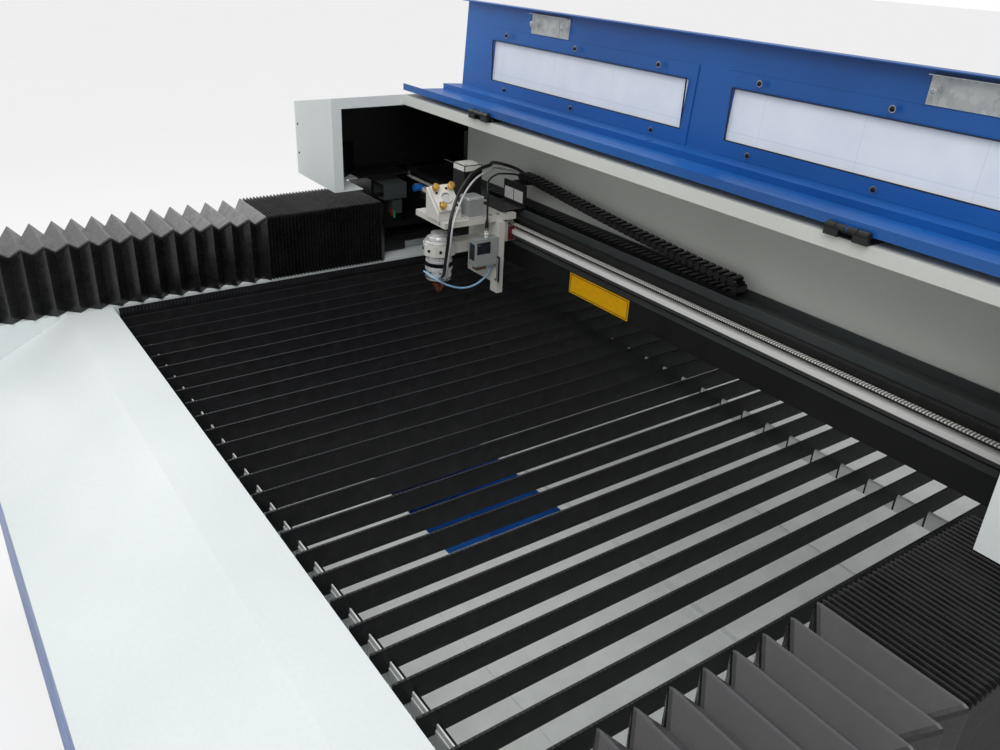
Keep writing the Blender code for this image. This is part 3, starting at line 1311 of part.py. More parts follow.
PLATE_LEFT_REACH = 0.0595
PLATE_LEFT = NOZZLE_X - PLATE_LEFT_REACH
PLATE_RIGHT_REACH = 0.0545
PLATE_RIGHT = NOZZLE_X + PLATE_RIGHT_REACH
PLATE_FRONT_REACH = 0.020
PLATE_START = NOZZLE_SETBACK - PLATE_FRONT_REACH
PLATE_GAP = 0.0165
PLATE_END = BEAM_FRONT - PLATE_GAP
PLATE_LIFT = 0.005
PLATE_BOTTOM = BEAM_TOP + PLATE_LIFT
PLATE_THICKNESS = 0.012
FACE_RIGHT_REACH = 0.0645
FACE_RIGHT = NOZZLE_X + FACE_RIGHT_REACH
FACE_LEFT_REACH = 0.048
FACE_LEFT = NOZZLE_X - FACE_LEFT_REACH
FACE_REACH = 0.064
FACE_START = BEAM_FRONT - FACE_REACH
FACE_THICKNESS = 0.014
SPACER_GAP = 0.0243
SPACER_REAR = BEAM_FRONT - SPACER_GAP
FACE_DROP = 0.046
FACE_BOTTOM = BEAM_BOTTOM - FACE_DROP
FACE_STEP_REACH = 0.040
FACE_STEP_X = NOZZLE_X + FACE_STEP_REACH
FACE_STEP_HEIGHT = 0.020
FACE_STEP_Z = FACE_BOTTOM + FACE_STEP_HEIGHT
X_BLOCK_WIDTH = 0.034
X_BLOCK_LENGTH = 0.077
X_BLOCK_REACH = 0.038
X_BLOCK_LEFT = NOZZLE_X - X_BLOCK_REACH
X_BLOCK_CLEARANCE = 0.004
CLAMP_LEFT_REACH = 0.028
CLAMP_FINGER_LEFT = NOZZLE_X - CLAMP_LEFT_REACH
CLAMP_RIGHT_REACH = 0.032
CLAMP_FINGER_RIGHT = NOZZLE_X + CLAMP_RIGHT_REACH
CLAMP_FINGER_HEIGHT = 0.006
BRACKET_LEFT_REACH = 0.036
CHAIN_BRACKET_LEFT = NOZZLE_X - BRACKET_LEFT_REACH
BRACKET_RIGHT_REACH = 0.042
CHAIN_BRACKET_RIGHT = NOZZLE_X + BRACKET_RIGHT_REACH
CHAIN_BRACKET_THICKNESS = 0.003
CHAIN_BRACKET_SETBACK = CHAIN_TRAY_START
CHAIN_BRACKET_LAP = 0.025
CHAIN_SHELF_LENGTH = 0.040


def carriage():
    """Face plate with its belt clamp, top plate, bearing block and the chain's bracket."""
    face_y = front_y(FACE_START)
    top = PLATE_BOTTOM + PLATE_THICKNESS
    outline = [
        (FACE_LEFT, FACE_STEP_Z),
        (FACE_STEP_X, FACE_STEP_Z),
        (FACE_STEP_X, FACE_BOTTOM),
        (FACE_RIGHT, FACE_BOTTOM),
        (FACE_RIGHT, PLATE_BOTTOM),
        (FACE_LEFT, PLATE_BOTTOM),
    ]
    face = prism("carriage_plate", outline, "Y", face_y, face_y + FACE_THICKNESS, ALUMINIUM)
    low = (PLATE_LEFT, front_y(PLATE_START), PLATE_BOTTOM)
    fuse_blocks(face, [(low, (PLATE_RIGHT, front_y(PLATE_END), top))])
    rail_face = front_y(BEAM_FRONT) - GAP
    block_y = front_y(SPACER_REAR)
    middle = X_RAIL_BOTTOM + X_RAIL_WIDTH / 2
    low = (X_BLOCK_LEFT, face_y + FACE_THICKNESS / 2, middle - X_BLOCK_WIDTH / 2)
    strand = X_PULLEY_Z - X_PULLEY_RADIUS
    boss = (low, (X_BLOCK_LEFT + X_BLOCK_LENGTH, block_y, strand + CLAMP_FINGER_HEIGHT))
    finger_low = (CLAMP_FINGER_LEFT, face_y + FACE_THICKNESS, strand)
    finger_high = (CLAMP_FINGER_RIGHT, front_y(X_BELT_FRONT + X_BELT_WIDTH), strand + CLAMP_FINGER_HEIGHT)
    fuse_blocks(face, [boss, (finger_low, finger_high)])
    bearing = block(
        "x_bearing_block",
        (X_BLOCK_LEFT, block_y + GAP, middle - X_BLOCK_WIDTH / 2),
        (X_BLOCK_LEFT + X_BLOCK_LENGTH, rail_face - X_BLOCK_CLEARANCE, middle + X_BLOCK_WIDTH / 2),
        ZINC,
    )
    half = X_RAIL_WIDTH / 2 + GAP
    low = (X_BLOCK_LEFT - OVERRUN, rail_face - X_RAIL_HEIGHT - GAP, middle - half)
    high = (X_BLOCK_LEFT + X_BLOCK_LENGTH + OVERRUN, rail_face + OVERRUN, middle + half)
    cut_blocks(bearing, [(low, high)])
    y = front_y(CHAIN_BRACKET_SETBACK)
    thick = CHAIN_BRACKET_THICKNESS
    low = (CHAIN_BRACKET_LEFT, front_y(PLATE_END) - CHAIN_BRACKET_LAP, top + GAP)
    high = (CHAIN_BRACKET_RIGHT, y + thick, top + GAP + thick)
    bracket = block("chain_bracket", low, high, BLACK)
    shelf_z = CHAIN_MOVING_Z - CHAIN_HEIGHT / 2 - GAP
    upright = ((CHAIN_BRACKET_LEFT, y, top + GAP), (CHAIN_BRACKET_RIGHT, y + thick, shelf_z))
    shelf_low = (CHAIN_MOVING_X, y, shelf_z - thick)
    shelf_rear = front_y(CHAIN_SETBACK) + CHAIN_WIDTH / 2
    shelf = (shelf_low, (CHAIN_MOVING_X + CHAIN_SHELF_LENGTH, shelf_rear, shelf_z))
    fuse_blocks(bracket, [upright, shelf])


# Head: mirror, Z motor with its screw, tube clamp, lens tube, nozzle and sensor box

Z_MOTOR_SIZE = 0.042
Z_MOTOR_OFFSET = 0.013
Z_MOTOR_X = NOZZLE_X - Z_MOTOR_OFFSET
Z_MOTOR_GAP = 0.073
Z_MOTOR_SETBACK = NOZZLE_SETBACK + Z_MOTOR_GAP
Z_MOTOR_RISE = 0.107
Z_MOTOR_TOP = PLATE_BOTTOM + Z_MOTOR_RISE
GREY_BLOCK_NEAR = 0.0175
GREY_BLOCK_LEFT = NOZZLE_X + GREY_BLOCK_NEAR
GREY_BLOCK_FAR = 0.0525
GREY_BLOCK_RIGHT = NOZZLE_X + GREY_BLOCK_FAR
GREY_BLOCK_GAP = 0.036
GREY_BLOCK_START = NOZZLE_SETBACK + GREY_BLOCK_GAP
GREY_BLOCK_DEPTH = 0.034
GREY_BLOCK_HEIGHT = 0.042
HEAD_MIRROR_LEFT_REACH = 0.040
HEAD_MIRROR_BASE_LEFT = NOZZLE_X - HEAD_MIRROR_LEFT_REACH
HEAD_MIRROR_RIGHT_REACH = 0.042
HEAD_MIRROR_BASE_RIGHT = NOZZLE_X + HEAD_MIRROR_RIGHT_REACH
HEAD_MIRROR_HALF_DEPTH = 0.0265
HEAD_MIRROR_BASE_HEIGHT = 0.010
HEAD_MIRROR_RISE = 0.073
HEAD_MIRROR_TOP = PLATE_BOTTOM + HEAD_MIRROR_RISE
HEAD_PLATE_THICKNESS = 0.009
HEAD_PLATE_OVERHANG = 0.002
KNOB_RADIUS = 0.0045
KNOB_LENGTH = 0.012
KNOB_INSET = 0.009
LENS_TUBE_RADIUS = 0.026
LENS_RING_RADIUS = 0.0285
LENS_NECK_RADIUS = 0.017
LENS_TOP_DROP = 0.023
LENS_TOP = PLATE_BOTTOM - LENS_TOP_DROP
LENS_NECK_HEIGHT = 0.010
LENS_TOP_RING = LENS_TOP - LENS_NECK_HEIGHT
CLAMP_DROP = 0.067
CLAMP_BOTTOM = PLATE_BOTTOM - CLAMP_DROP
CLAMP_HEIGHT = 0.023
CLAMP_TOP = CLAMP_BOTTOM + CLAMP_HEIGHT
CLAMP_RADIUS = 0.034
CLAMP_SIDES = 8
NOZZLE_HEIGHT = 0.030
LENS_BOTTOM = NOZZLE_TIP + NOZZLE_HEIGHT
LENS_RING_LIFT = 0.021
LENS_RING_Z = LENS_BOTTOM + LENS_RING_LIFT
LENS_RING_HEIGHT = 0.006
NOZZLE_SHOULDER_RADIUS = 0.013
NOZZLE_BODY_TOP_RADIUS = 0.020
NOZZLE_SHOULDER_LIFT = 0.015
NOZZLE_SHOULDER_Z = NOZZLE_TIP + NOZZLE_SHOULDER_LIFT
NOZZLE_TIP_RADIUS = 0.004
SLIDE_HALF = 0.017
SENSOR_NEAR = 0.0405
SENSOR_LEFT = NOZZLE_X + SENSOR_NEAR
SENSOR_FAR = 0.0655
SENSOR_RIGHT = NOZZLE_X + SENSOR_FAR
SENSOR_GAP = 0.0465
SENSOR_START = NOZZLE_SETBACK + SENSOR_GAP
SENSOR_DROP = 0.0295
SENSOR_TOP = PLATE_BOTTOM - SENSOR_DROP
SENSOR_HEIGHT = 0.0565
SENSOR_BOTTOM = SENSOR_TOP - SENSOR_HEIGHT
SENSOR_PLUG_OFFSET = 0.061
SENSOR_PLUG_X = NOZZLE_X + SENSOR_PLUG_OFFSET
SENSOR_PLUG_GAP = 0.0745
SENSOR_PLUG_SETBACK = NOZZLE_SETBACK + SENSOR_PLUG_GAP
SENSOR_PLUG_RADIUS = 0.0042
SENSOR_PLUG_HEIGHT = 0.0225


def head_mirror():
    """A wedge with a 45 degree plate over the lens axis and three knurled screws in it."""
    base = PLATE_BOTTOM + PLATE_THICKNESS + GAP
    y = front_y(NOZZLE_SETBACK)
    low_y, high_y = y - HEAD_MIRROR_HALF_DEPTH, y + HEAD_MIRROR_HALF_DEPTH
    run = HEAD_MIRROR_TOP - base - HEAD_MIRROR_BASE_HEIGHT
    left, right = HEAD_MIRROR_BASE_LEFT, HEAD_MIRROR_BASE_RIGHT
    outline = [
        (left, base),
        (right, base),
        (right, base + HEAD_MIRROR_BASE_HEIGHT),
        (right - run, HEAD_MIRROR_TOP),
        (left, HEAD_MIRROR_TOP),
    ]
    made = prism("head_mirror", outline, "Y", low_y, high_y, ALUMINIUM)
    centre = Vector((right - run / 2, y, base + HEAD_MIRROR_BASE_HEIGHT + run / 2))
    lean = Matrix.Translation(centre) @ Matrix.Rotation(math.radians(45), 4, "Y")
    half = run / math.sqrt(2) - HEAD_PLATE_OVERHANG
    bm = bmesh.new()
    low = (-half, -HEAD_MIRROR_HALF_DEPTH + HEAD_PLATE_OVERHANG, -HEAD_PLATE_OVERHANG)
    high = (half, HEAD_MIRROR_HALF_DEPTH - HEAD_PLATE_OVERHANG, HEAD_PLATE_THICKNESS)
    add_block(bm, low, high)
    bmesh.ops.transform(bm, matrix=lean, verts=bm.verts)
    combine(made, tool(bm), "UNION")
    reach = half - KNOB_INSET
    across = HEAD_MIRROR_HALF_DEPTH - KNOB_INSET
    for along, aside in ((-reach, -across), (-reach, across), (reach, -across)):
        bm = bmesh.new()
        top = HEAD_PLATE_THICKNESS + KNOB_LENGTH
        add_rod(bm, "Z", (along, aside, None), KNOB_RADIUS, 0, top, HINGE_SEGMENTS)
        bmesh.ops.transform(bm, matrix=lean, verts=bm.verts)
        combine(made, tool(bm), "UNION")
    return made


def z_drive():
    """The Z motor on the top plate, and the square bearing block beside the mirror."""
    base = PLATE_BOTTOM + PLATE_THICKNESS + GAP
    half = Z_MOTOR_SIZE / 2
    y = front_y(Z_MOTOR_SETBACK)
    low = (Z_MOTOR_X - half, y - half, base)
    block("z_motor", low, (Z_MOTOR_X + half, y + half, Z_MOTOR_TOP), BLACK)
    y = front_y(GREY_BLOCK_START)
    low = (GREY_BLOCK_LEFT, y, base)
    high = (GREY_BLOCK_RIGHT, y + GREY_BLOCK_DEPTH, base + GREY_BLOCK_HEIGHT)
    block("mirror_air_block", low, high, GREY)


def cutting_head():
    """The clamp with its slide block, the lens tube in it, and the nozzle."""
    x, y = NOZZLE_X, front_y(NOZZLE_SETBACK)
    centre = (x, y, None)
    bm = bmesh.new()
    add_rod(bm, "Z", centre, CLAMP_RADIUS, CLAMP_BOTTOM, CLAMP_TOP, CLAMP_SIDES)
    clamp = to_object("tube_clamp", bm, ALUMINIUM)
    face = front_y(FACE_START) - GAP
    low = (x - SLIDE_HALF, y, CLAMP_BOTTOM)
    fuse_blocks(clamp, [(low, (x + SLIDE_HALF, face, CLAMP_TOP))])
    reach = (CLAMP_BOTTOM - OVERRUN, CLAMP_TOP + OVERRUN)
    cut_rod(clamp, "Z", centre, LENS_TUBE_RADIUS + GAP, *reach, ROUND_SEGMENTS)
    ring_top = LENS_RING_Z + LENS_RING_HEIGHT
    profile = [
        (0, LENS_TOP),
        (LENS_NECK_RADIUS, LENS_TOP),
        (LENS_NECK_RADIUS, LENS_TOP_RING),
        (LENS_TUBE_RADIUS, LENS_TOP_RING),
        (LENS_TUBE_RADIUS, ring_top),
        (LENS_RING_RADIUS, ring_top),
        (LENS_RING_RADIUS, LENS_RING_Z),
        (LENS_TUBE_RADIUS, LENS_RING_Z),
        (LENS_TUBE_RADIUS, LENS_BOTTOM),
        (0, LENS_BOTTOM),
    ]
    turned("lens_tube", profile, "Z", centre, ALUMINIUM, ROUND_SEGMENTS)
    seat = LENS_BOTTOM - GAP
    profile = [
        (0, seat),
        (NOZZLE_BODY_TOP_RADIUS, seat),
        (NOZZLE_SHOULDER_RADIUS, NOZZLE_SHOULDER_Z),
        (NOZZLE_TIP_RADIUS, NOZZLE_TIP),
        (0, NOZZLE_TIP),
    ]
    turned("nozzle", profile, "Z", centre, BRASS, ROUND_SEGMENTS)
    top_y = front_y(FACE_START) - GAP
    low = (SENSOR_LEFT, front_y(SENSOR_START), SENSOR_BOTTOM)
    sensor = block("height_sensor_box", low, (SENSOR_RIGHT, top_y, SENSOR_TOP), GREY)
    plug = (SENSOR_PLUG_X, front_y(SENSOR_PLUG_SETBACK), None)
    plug_top = SENSOR_TOP + SENSOR_PLUG_HEIGHT
    fuse_rod(sensor, "Z", plug, SENSOR_PLUG_RADIUS, SENSOR_BOTTOM + OVERRUN, plug_top, HINGE_SEGMENTS)


# Lines between the cable chain, the head and the sensor box. Their points are given from
# the nozzle's axis at the level of the top plate's underside.

HOSE_DIAMETER = 0.007
LINE_DIAMETER = 0.004
SPACING_SHARE = 3.0
HOSE_SIDES = 3
LINE_SIDES = 2
FINE_STEPS = 24

HOSE_ROUTE = (
    (-0.0133, 0.2200, 0.0685),
    (-0.0290, 0.2190, 0.0720),
    (-0.0440, 0.2090, 0.0780),
    (-0.0470, 0.1890, 0.0850),
    (-0.0380, 0.1630, 0.0930),
    (-0.0190, 0.1360, 0.1000),
    (0.0080, 0.1130, 0.1035),
    (0.0180, 0.0860, 0.1020),
    (0.0230, 0.0610, 0.0940),
    (0.0320, 0.0390, 0.0810),
    (0.0440, 0.0200, 0.0690),
    (0.0600, 0.0015, 0.0580),
    (0.0720, -0.0130, 0.0430),
    (0.0775, -0.0210, 0.0290),
    (0.0790, -0.0245, 0.0130),
    (0.0780, -0.0255, -0.0050),
    (0.0745, -0.0255, -0.0270),
    (0.0660, -0.0230, -0.0510),
    (0.0530, -0.0180, -0.0790),
    (0.0440, -0.0145, -0.0950),
    (0.0360, -0.0130, -0.1050),
    (0.0262, -0.0109, -0.1107),
)
AIR_ROUTE = (
    (-0.0133, 0.2125, 0.0680),
    (-0.0230, 0.2118, 0.0695),
    (-0.0320, 0.2040, 0.0730),
    (-0.0330, 0.1860, 0.0780),
    (-0.0250, 0.1610, 0.0850),
    (-0.0090, 0.1360, 0.0920),
    (0.0130, 0.1150, 0.0950),
    (0.0250, 0.0890, 0.0940),
    (0.0320, 0.0650, 0.0875),
    (0.0400, 0.0435, 0.0755),
    (0.0510, 0.0245, 0.0635),
    (0.0660, 0.0065, 0.0530),
    (0.0780, -0.0090, 0.0390),
    (0.0850, -0.0185, 0.0260),
    (0.0870, -0.0235, 0.0110),
    (0.0860, -0.0250, -0.0070),
    (0.0820, -0.0245, -0.0290),
    (0.0730, -0.0220, -0.0530),
    (0.0605, -0.0170, -0.0810),
    (0.0510, -0.0115, -0.0970),
    (0.0400, -0.0070, -0.1080),
    (0.0269, -0.0048, -0.1134),
)
SIGNAL_ROUTE = (
    (-0.0133, 0.2050, 0.0675),
    (-0.0180, 0.2035, 0.0680),
    (-0.0220, 0.1970, 0.0695),
    (-0.0200, 0.1810, 0.0725),
    (-0.0110, 0.1590, 0.0770),
    (0.0030, 0.1370, 0.0820),
    (0.0200, 0.1180, 0.0850),
    (0.0350, 0.0990, 0.0860),
    (0.0470, 0.0840, 0.0820),
    (0.0560, 0.0760, 0.0730),
    (0.0600, 0.0745, 0.0610),
    (0.0610, 0.0745, 0.0450),
    (0.0610, 0.0745, 0.0270),
    (0.0610, 0.0745, 0.0100),
    (0.0610, 0.0745, -0.0067),
)
LOOP_ROUTE = (
    (-0.0080, -0.0305, -0.1040),
    (0.0050, -0.0335, -0.1020),
    (0.0190, -0.0320, -0.1040),
    (0.0300, -0.0240, -0.1100),
    (0.0350, -0.0110, -0.1190),
    (0.0375, 0.0090, -0.1290),
    (0.0385, 0.0310, -0.1360),
    (0.0390, 0.0510, -0.1370),
    (0.0395, 0.0690, -0.1330),
    (0.0420, 0.0830, -0.1240),
    (0.0470, 0.0900, -0.1130),
    (0.0520, 0.0910, -0.1000),
    (0.0530, 0.0910, -0.0863),
)


def curve_point(a, b, c, d, t):
    """A place between b and c on the smooth curve through four points."""
    bend = (a * 2 - b * 5 + c * 4 - d) * (t * t / 2)
    twist = (b * 3 - a - c * 3 + d) * (t * t * t / 2)
    return b + (c - a) * (t / 2) + bend + twist


def smooth_points(route, spacing):
    """Evenly spaced points on a smooth curve through a route's own points."""
    fine = []
    last = len(route) - 1
    for i in range(last):
        near = (route[max(i - 1, 0)], route[i], route[i + 1], route[min(i + 2, last)])
        fine += [curve_point(*near, k / FINE_STEPS) for k in range(FINE_STEPS)]
    fine.append(route[-1])
    marks = [0.0]
    for a, b in zip(fine, fine[1:]):
        marks.append(marks[-1] + (b - a).length)
    total = round(marks[-1] / spacing)
    points = []
    i = 0
    for k in range(total + 1):
        want = marks[-1] * k / total
        while i < len(fine) - 2 and marks[i + 1] < want:
            i += 1
        share = (want - marks[i]) / (marks[i + 1] - marks[i])
        points.append(fine[i].lerp(fine[i + 1], share))
    return points


def line(name, route, diameter, resolution, look):
    """A round hose or cable along a route whose ends are face to face with its seats."""
    corner = Vector((NOZZLE_X, front_y(NOZZLE_SETBACK), PLATE_BOTTOM))
    places = [corner + Vector(step) for step in route]
    points = smooth_points(places, diameter * SPACING_SHARE)
    curve = bpy.data.curves.new(name, "CURVE")
    curve.dimensions = "3D"
    curve.bevel_depth = diameter / 2
    curve.bevel_resolution = resolution
    curve.use_fill_caps = True
    spline = curve.splines.new("POLY")
    spline.points.add(len(points) - 1)
    for slot, point in zip(spline.points, points):
        slot.co = (*point, 1)
    curve.materials.append(paint(*look))
    made = bpy.data.objects.new(name, curve)
    bpy.context.scene.collection.objects.link(made)
    return made


def lines():
    line("head_hose", HOSE_ROUTE, HOSE_DIAMETER, HOSE_SIDES, NYLON)
    line("air_line", AIR_ROUTE, LINE_DIAMETER, LINE_SIDES, URETHANE)
    line("signal_cable", SIGNAL_ROUTE, LINE_DIAMETER, LINE_SIDES, NYLON)
    line("loop_tube", LOOP_ROUTE, LINE_DIAMETER, LINE_SIDES, AIR_BLUE)


def build():
    clear_scene()
    base_frame()
    panels()
    side_cover("left_side_cover", -1)
    side_cover("right_side_cover", 1)
    shroud("front_shroud", False)
    shroud("rear_shroud", True)
    blade_table()
    tray()
    scrap_drawer()
    y_rails()
    all_bellows()
    beam()
    gantry_foot("left_gantry_foot", -1, LEFT_SUPPORT_LENGTH)
    gantry_foot("right_gantry_foot", 1, RIGHT_SUPPORT_LENGTH)
    cross_shaft()
    gear_motor()
    x_axis()
    chain_tray()
    drag_chain()
    housing()
    end_boxes()
    laser_tube()
    corner_mirror("first_mirror", TUBE_SETBACK, -1)
    corner_mirror("second_mirror", NOZZLE_SETBACK, 1)
    lid_knuckles(lid_shell())
    for name, start in zip(("left", "right"), WINDOW_STARTS):
        window(name, start)
    for name, middle in zip(("left_handle", "right_handle"), HANDLE_MIDDLES):
        handle(name, middle)
    for name, middle in zip(("left_hinge", "right_hinge"), HINGE_PLACES):
        hinge_leaf(name, middle)
    carriage()
    head_mirror()
    z_drive()
    cutting_head()
    lines()


build()
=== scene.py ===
# %% [markdown]
# This notebook dresses the CAD model of a flatbed laser cutting machine. The CAD model gives
# every main solid its true size and place. Here each surface gets the finish of the real one,
# and the soft and small things that CAD leaves plain are built as meshes on top of it.
# %% Load the CAD model
import math

import bmesh
import bpy
from mathutils import Matrix, Vector, noise


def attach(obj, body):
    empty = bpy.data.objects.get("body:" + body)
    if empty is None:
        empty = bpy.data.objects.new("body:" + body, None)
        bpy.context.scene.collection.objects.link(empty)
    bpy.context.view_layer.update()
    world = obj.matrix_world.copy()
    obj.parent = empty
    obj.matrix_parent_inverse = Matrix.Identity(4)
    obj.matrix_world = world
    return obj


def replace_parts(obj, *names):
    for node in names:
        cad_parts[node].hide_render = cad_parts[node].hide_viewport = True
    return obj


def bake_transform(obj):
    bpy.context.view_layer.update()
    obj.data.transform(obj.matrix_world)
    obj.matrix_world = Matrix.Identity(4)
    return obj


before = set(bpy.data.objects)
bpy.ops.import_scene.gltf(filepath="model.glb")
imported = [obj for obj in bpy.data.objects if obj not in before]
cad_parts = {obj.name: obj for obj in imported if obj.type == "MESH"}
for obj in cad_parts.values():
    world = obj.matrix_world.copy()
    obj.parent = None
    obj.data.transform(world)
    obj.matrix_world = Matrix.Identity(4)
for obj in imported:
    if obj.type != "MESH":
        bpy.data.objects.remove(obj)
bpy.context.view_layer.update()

# %% [markdown]
# Lengthwise places are easiest to read as distances from the front of the bed, as on a
# workshop drawing. One small function turns them into the frame's own Y values.
# %% Places along the bed
MM = 0.001
BED_LENGTH = 3.4
GAP = 0.0003


def front_y(distance):
    return distance - BED_LENGTH / 2


def place(x, setback, z):
    return Vector((x, front_y(setback), z))


print("the front of the bed is at Y", front_y(0))

# %% [markdown]
# The camera stands beside the front right corner of the bed, at about shoulder height, and
# looks across the blades to the left. Its place and turn were worked out from the edges of
# the bed and the gantry, so the matrix is given as three directions.
# %% Camera
SENSOR = 36.0
LENS = 31.243
CAMERA_PLACE = (1.0625, -1.724, 1.447)
CAMERA_RIGHT = (0.56758198, 0.82215152, 0.04379011)
CAMERA_UP = (-0.39178936, 0.22293198, 0.8926379)
CAMERA_BACK = (0.72412139, -0.52380169, 0.44864239)
camera = bpy.data.objects.new("camera", bpy.data.cameras.new("camera"))
camera.data.sensor_width = SENSOR
camera.data.lens = LENS
turn = Matrix((CAMERA_RIGHT, CAMERA_UP, CAMERA_BACK)).transposed().to_4x4()
camera.matrix_world = Matrix.Translation(CAMERA_PLACE) @ turn
bpy.context.scene.collection.objects.link(camera)
bpy.context.scene.camera = camera
print("camera at", CAMERA_PLACE)

# %% [markdown]
# Every mesh here is made with the same few tools. A block gets its edges eased, because no
# real edge is perfectly sharp and a highlight runs along it. A lathe turns a profile about an
# axis. A tube follows a row of points, and both are bands of faces between rings. A piece is
# then named, painted and tied to the body that it moves with.
# %% Mesh tools
SMOOTH_ANGLE = math.radians(38)
SOCKET_SHARE = 0.5
SPLINE_STEPS = 24
UP = Vector((0, 0, 1))
TO_FRONT = Vector((0, -1, 0))
TO_RIGHT = Vector((1, 0, 0))


def make_piece(name, bm, material, body):
    """A mesh object from a bmesh that moves with one body of the model."""
    bmesh.ops.recalc_face_normals(bm, faces=bm.faces)
    mesh = bpy.data.meshes.new(name)
    bm.to_mesh(mesh)
    bm.free()
    mesh.shade_smooth()
    mesh.set_sharp_from_angle(angle=SMOOTH_ANGLE)
    mesh.materials.append(material)
    piece = bpy.data.objects.new(name, mesh)
    bpy.context.scene.collection.objects.link(piece)
    if body:
        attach(piece, body)
    return piece


def add_block(bm, low, high, ease=0.0, turn=None):
    """A block between two corners with eased edges, and turned by a matrix if one is given."""
    size = Vector(high) - Vector(low)
    middle = (Vector(high) + Vector(low)) / 2
    verts = bmesh.ops.create_cube(bm, size=1)["verts"]
    bmesh.ops.scale(bm, vec=size, verts=verts)
    bmesh.ops.translate(bm, vec=middle, verts=verts)
    if ease:
        edges = list({edge for vert in verts for edge in vert.link_edges})
        eased = bmesh.ops.bevel(bm, geom=edges, offset=ease, segments=2, affect="EDGES")
        rounded = {vert for face in eased["faces"] for vert in face.verts}
        verts = list(rounded | {vert for vert in verts if vert.is_valid})
    if turn:
        bmesh.ops.transform(bm, matrix=turn, verts=verts)


def block_piece(name, spans, ease, material, body):
    """A piece of blocks, each between two corners written as x, setback and height."""
    bm = bmesh.new()
    for low, high in spans:
        add_block(bm, place(*low), place(*high), ease)
    return make_piece(name, bm, material, body)


def strips(low, high, wall, inset=0.0):
    """The four strips of a flat square frame, each as two corners with two coordinates."""
    (u0, v0), (u1, v1) = low, high
    return (((u0, v0), (u1, v0 + wall)), ((u0, v1 - wall), (u1, v1)),
            ((u0, v0 + inset), (u0 + wall, v1 - inset)), ((u1 - wall, v0 + inset), (u1, v1 - inset)))


def add_ring(bm, centre, across, third, reaches):
    """A ring of vertices about a centre, with a radius for each of them."""
    angles = [2 * math.pi * k / len(reaches) for k in range(len(reaches))]
    return [bm.verts.new(centre + (across * math.cos(angle) + third * math.sin(angle)) * reach)
            for angle, reach in zip(angles, reaches)]


def add_band(bm, low, high):
    """The faces between two rings, of which one may be a single point on the axis."""
    count = max(len(low), len(high))
    for k in range(count):
        after = (k + 1) % count
        if len(low) == 1:
            bm.faces.new((low[0], high[k], high[after]))
        elif len(high) == 1:
            bm.faces.new((low[k], low[after], high[0]))
        else:
            bm.faces.new((low[k], low[after], high[after], high[k]))


def cross_axes(way):
    """A direction of unit length and two directions square to it and to each other."""
    way = Vector(way).normalized()
    across = way.orthogonal().normalized()
    return way, across, way.cross(across)


def add_lathe(bm, profile, start, way, sides=20):
    """Turns (radius, distance) points about the line that leaves start in direction way."""
    way, across, third = cross_axes(way)
    rings = []
    for radius, along in profile:
        centre = Vector(start) + way * along
        rings.append(add_ring(bm, centre, across, third,
                              [radius] * sides) if radius else [bm.verts.new(centre)])
    for low, high in zip(rings, rings[1:]):
        add_band(bm, low, high)


def add_knurl(bm, seat, way, radius, low, high, teeth=26):
    """A knurled head, whose edge steps in and out all the way round."""
    way, across, third = cross_axes(way)
    rings = []
    for along, shrink in ((low, 0.86), (low + 0.0008, 1.0), (high - 0.0008, 1.0), (high, 0.86)):
        reaches = [radius * shrink * (1.0 if k % 2 else 0.93) for k in range(teeth * 2)]
        rings.append(add_ring(bm, Vector(seat) + way * along, across, third, reaches))
    for a, b in zip(rings, rings[1:]):
        add_band(bm, a, b)
    bm.faces.new(list(reversed(rings[0])))
    bm.faces.new(rings[-1])


def add_screws(bm, seats, way, radius, height):
    """The same cap screw in several seats: a domed head with a socket sunk in it."""
    hollow = radius * SOCKET_SHARE
    profile = [(0, height * 0.45), (hollow, height * 0.45), (hollow, height), (radius * 0.82, height),
               (radius, height * 0.75), (radius, -GAP), (0, -GAP)]
    for seat in seats:
        add_lathe(bm, profile, seat, way, 12)


def spline_points(route, count):
    """Evenly spaced points on a smooth curve through the route's own points, and its length."""
    fine = []
    last = len(route) - 1
    for i in range(last):
        a, b, c, d = (Vector(route[k]) for k in (max(i - 1, 0), i, i + 1, min(i + 2, last)))
        for k in range(SPLINE_STEPS):
            t = k / SPLINE_STEPS
            bend = (a * 2 - b * 5 + c * 4 - d) * (t * t / 2)
            twist = (b * 3 - a - c * 3 + d) * (t * t * t / 2)
            fine.append(b + (c - a) * (t / 2) + bend + twist)
    fine.append(Vector(route[-1]))
    marks = [0.0]
    for a, b in zip(fine, fine[1:]):
        marks.append(marks[-1] + (b - a).length)
    points, i = [], 0
    for k in range(count + 1):
        want = marks[-1] * k / count
        while i < len(fine) - 2 and marks[i + 1] < want:
            i += 1
        points.append(fine[i].lerp(fine[i + 1], (want - marks[i]) / (marks[i + 1] - marks[i])))
    return points, marks[-1]


def add_tube(bm, points, radii, sides=14):
    """A round tube along points, with one radius for each point and closed ends."""
    across = (points[1] - points[0]).orthogonal().normalized()
    rings = []
    for i, point in enumerate(points):
        way = (points[min(i + 1, len(points) - 1)] - points[max(i - 1, 0)]).normalized()
        across = (across - way * across.dot(way)).normalized()
        rings.append(add_ring(bm, point, across, way.cross(across), [radii[i]] * sides))
    for low, high in zip(rings, rings[1:]):
        add_band(bm, low, high)
    bm.faces.new(list(reversed(rings[0])))
    bm.faces.new(rings[-1])


print("mesh tools ready")

# %% [markdown]
# Colours are written as the sRGB hex values that one reads off a picture. The shader works
# with linear light, so one function turns them. A second small function adds any shader node
# with its settings and its inputs. An input is a plain value, a socket to link from, or a node
# whose first output is linked.
# %% Material tools


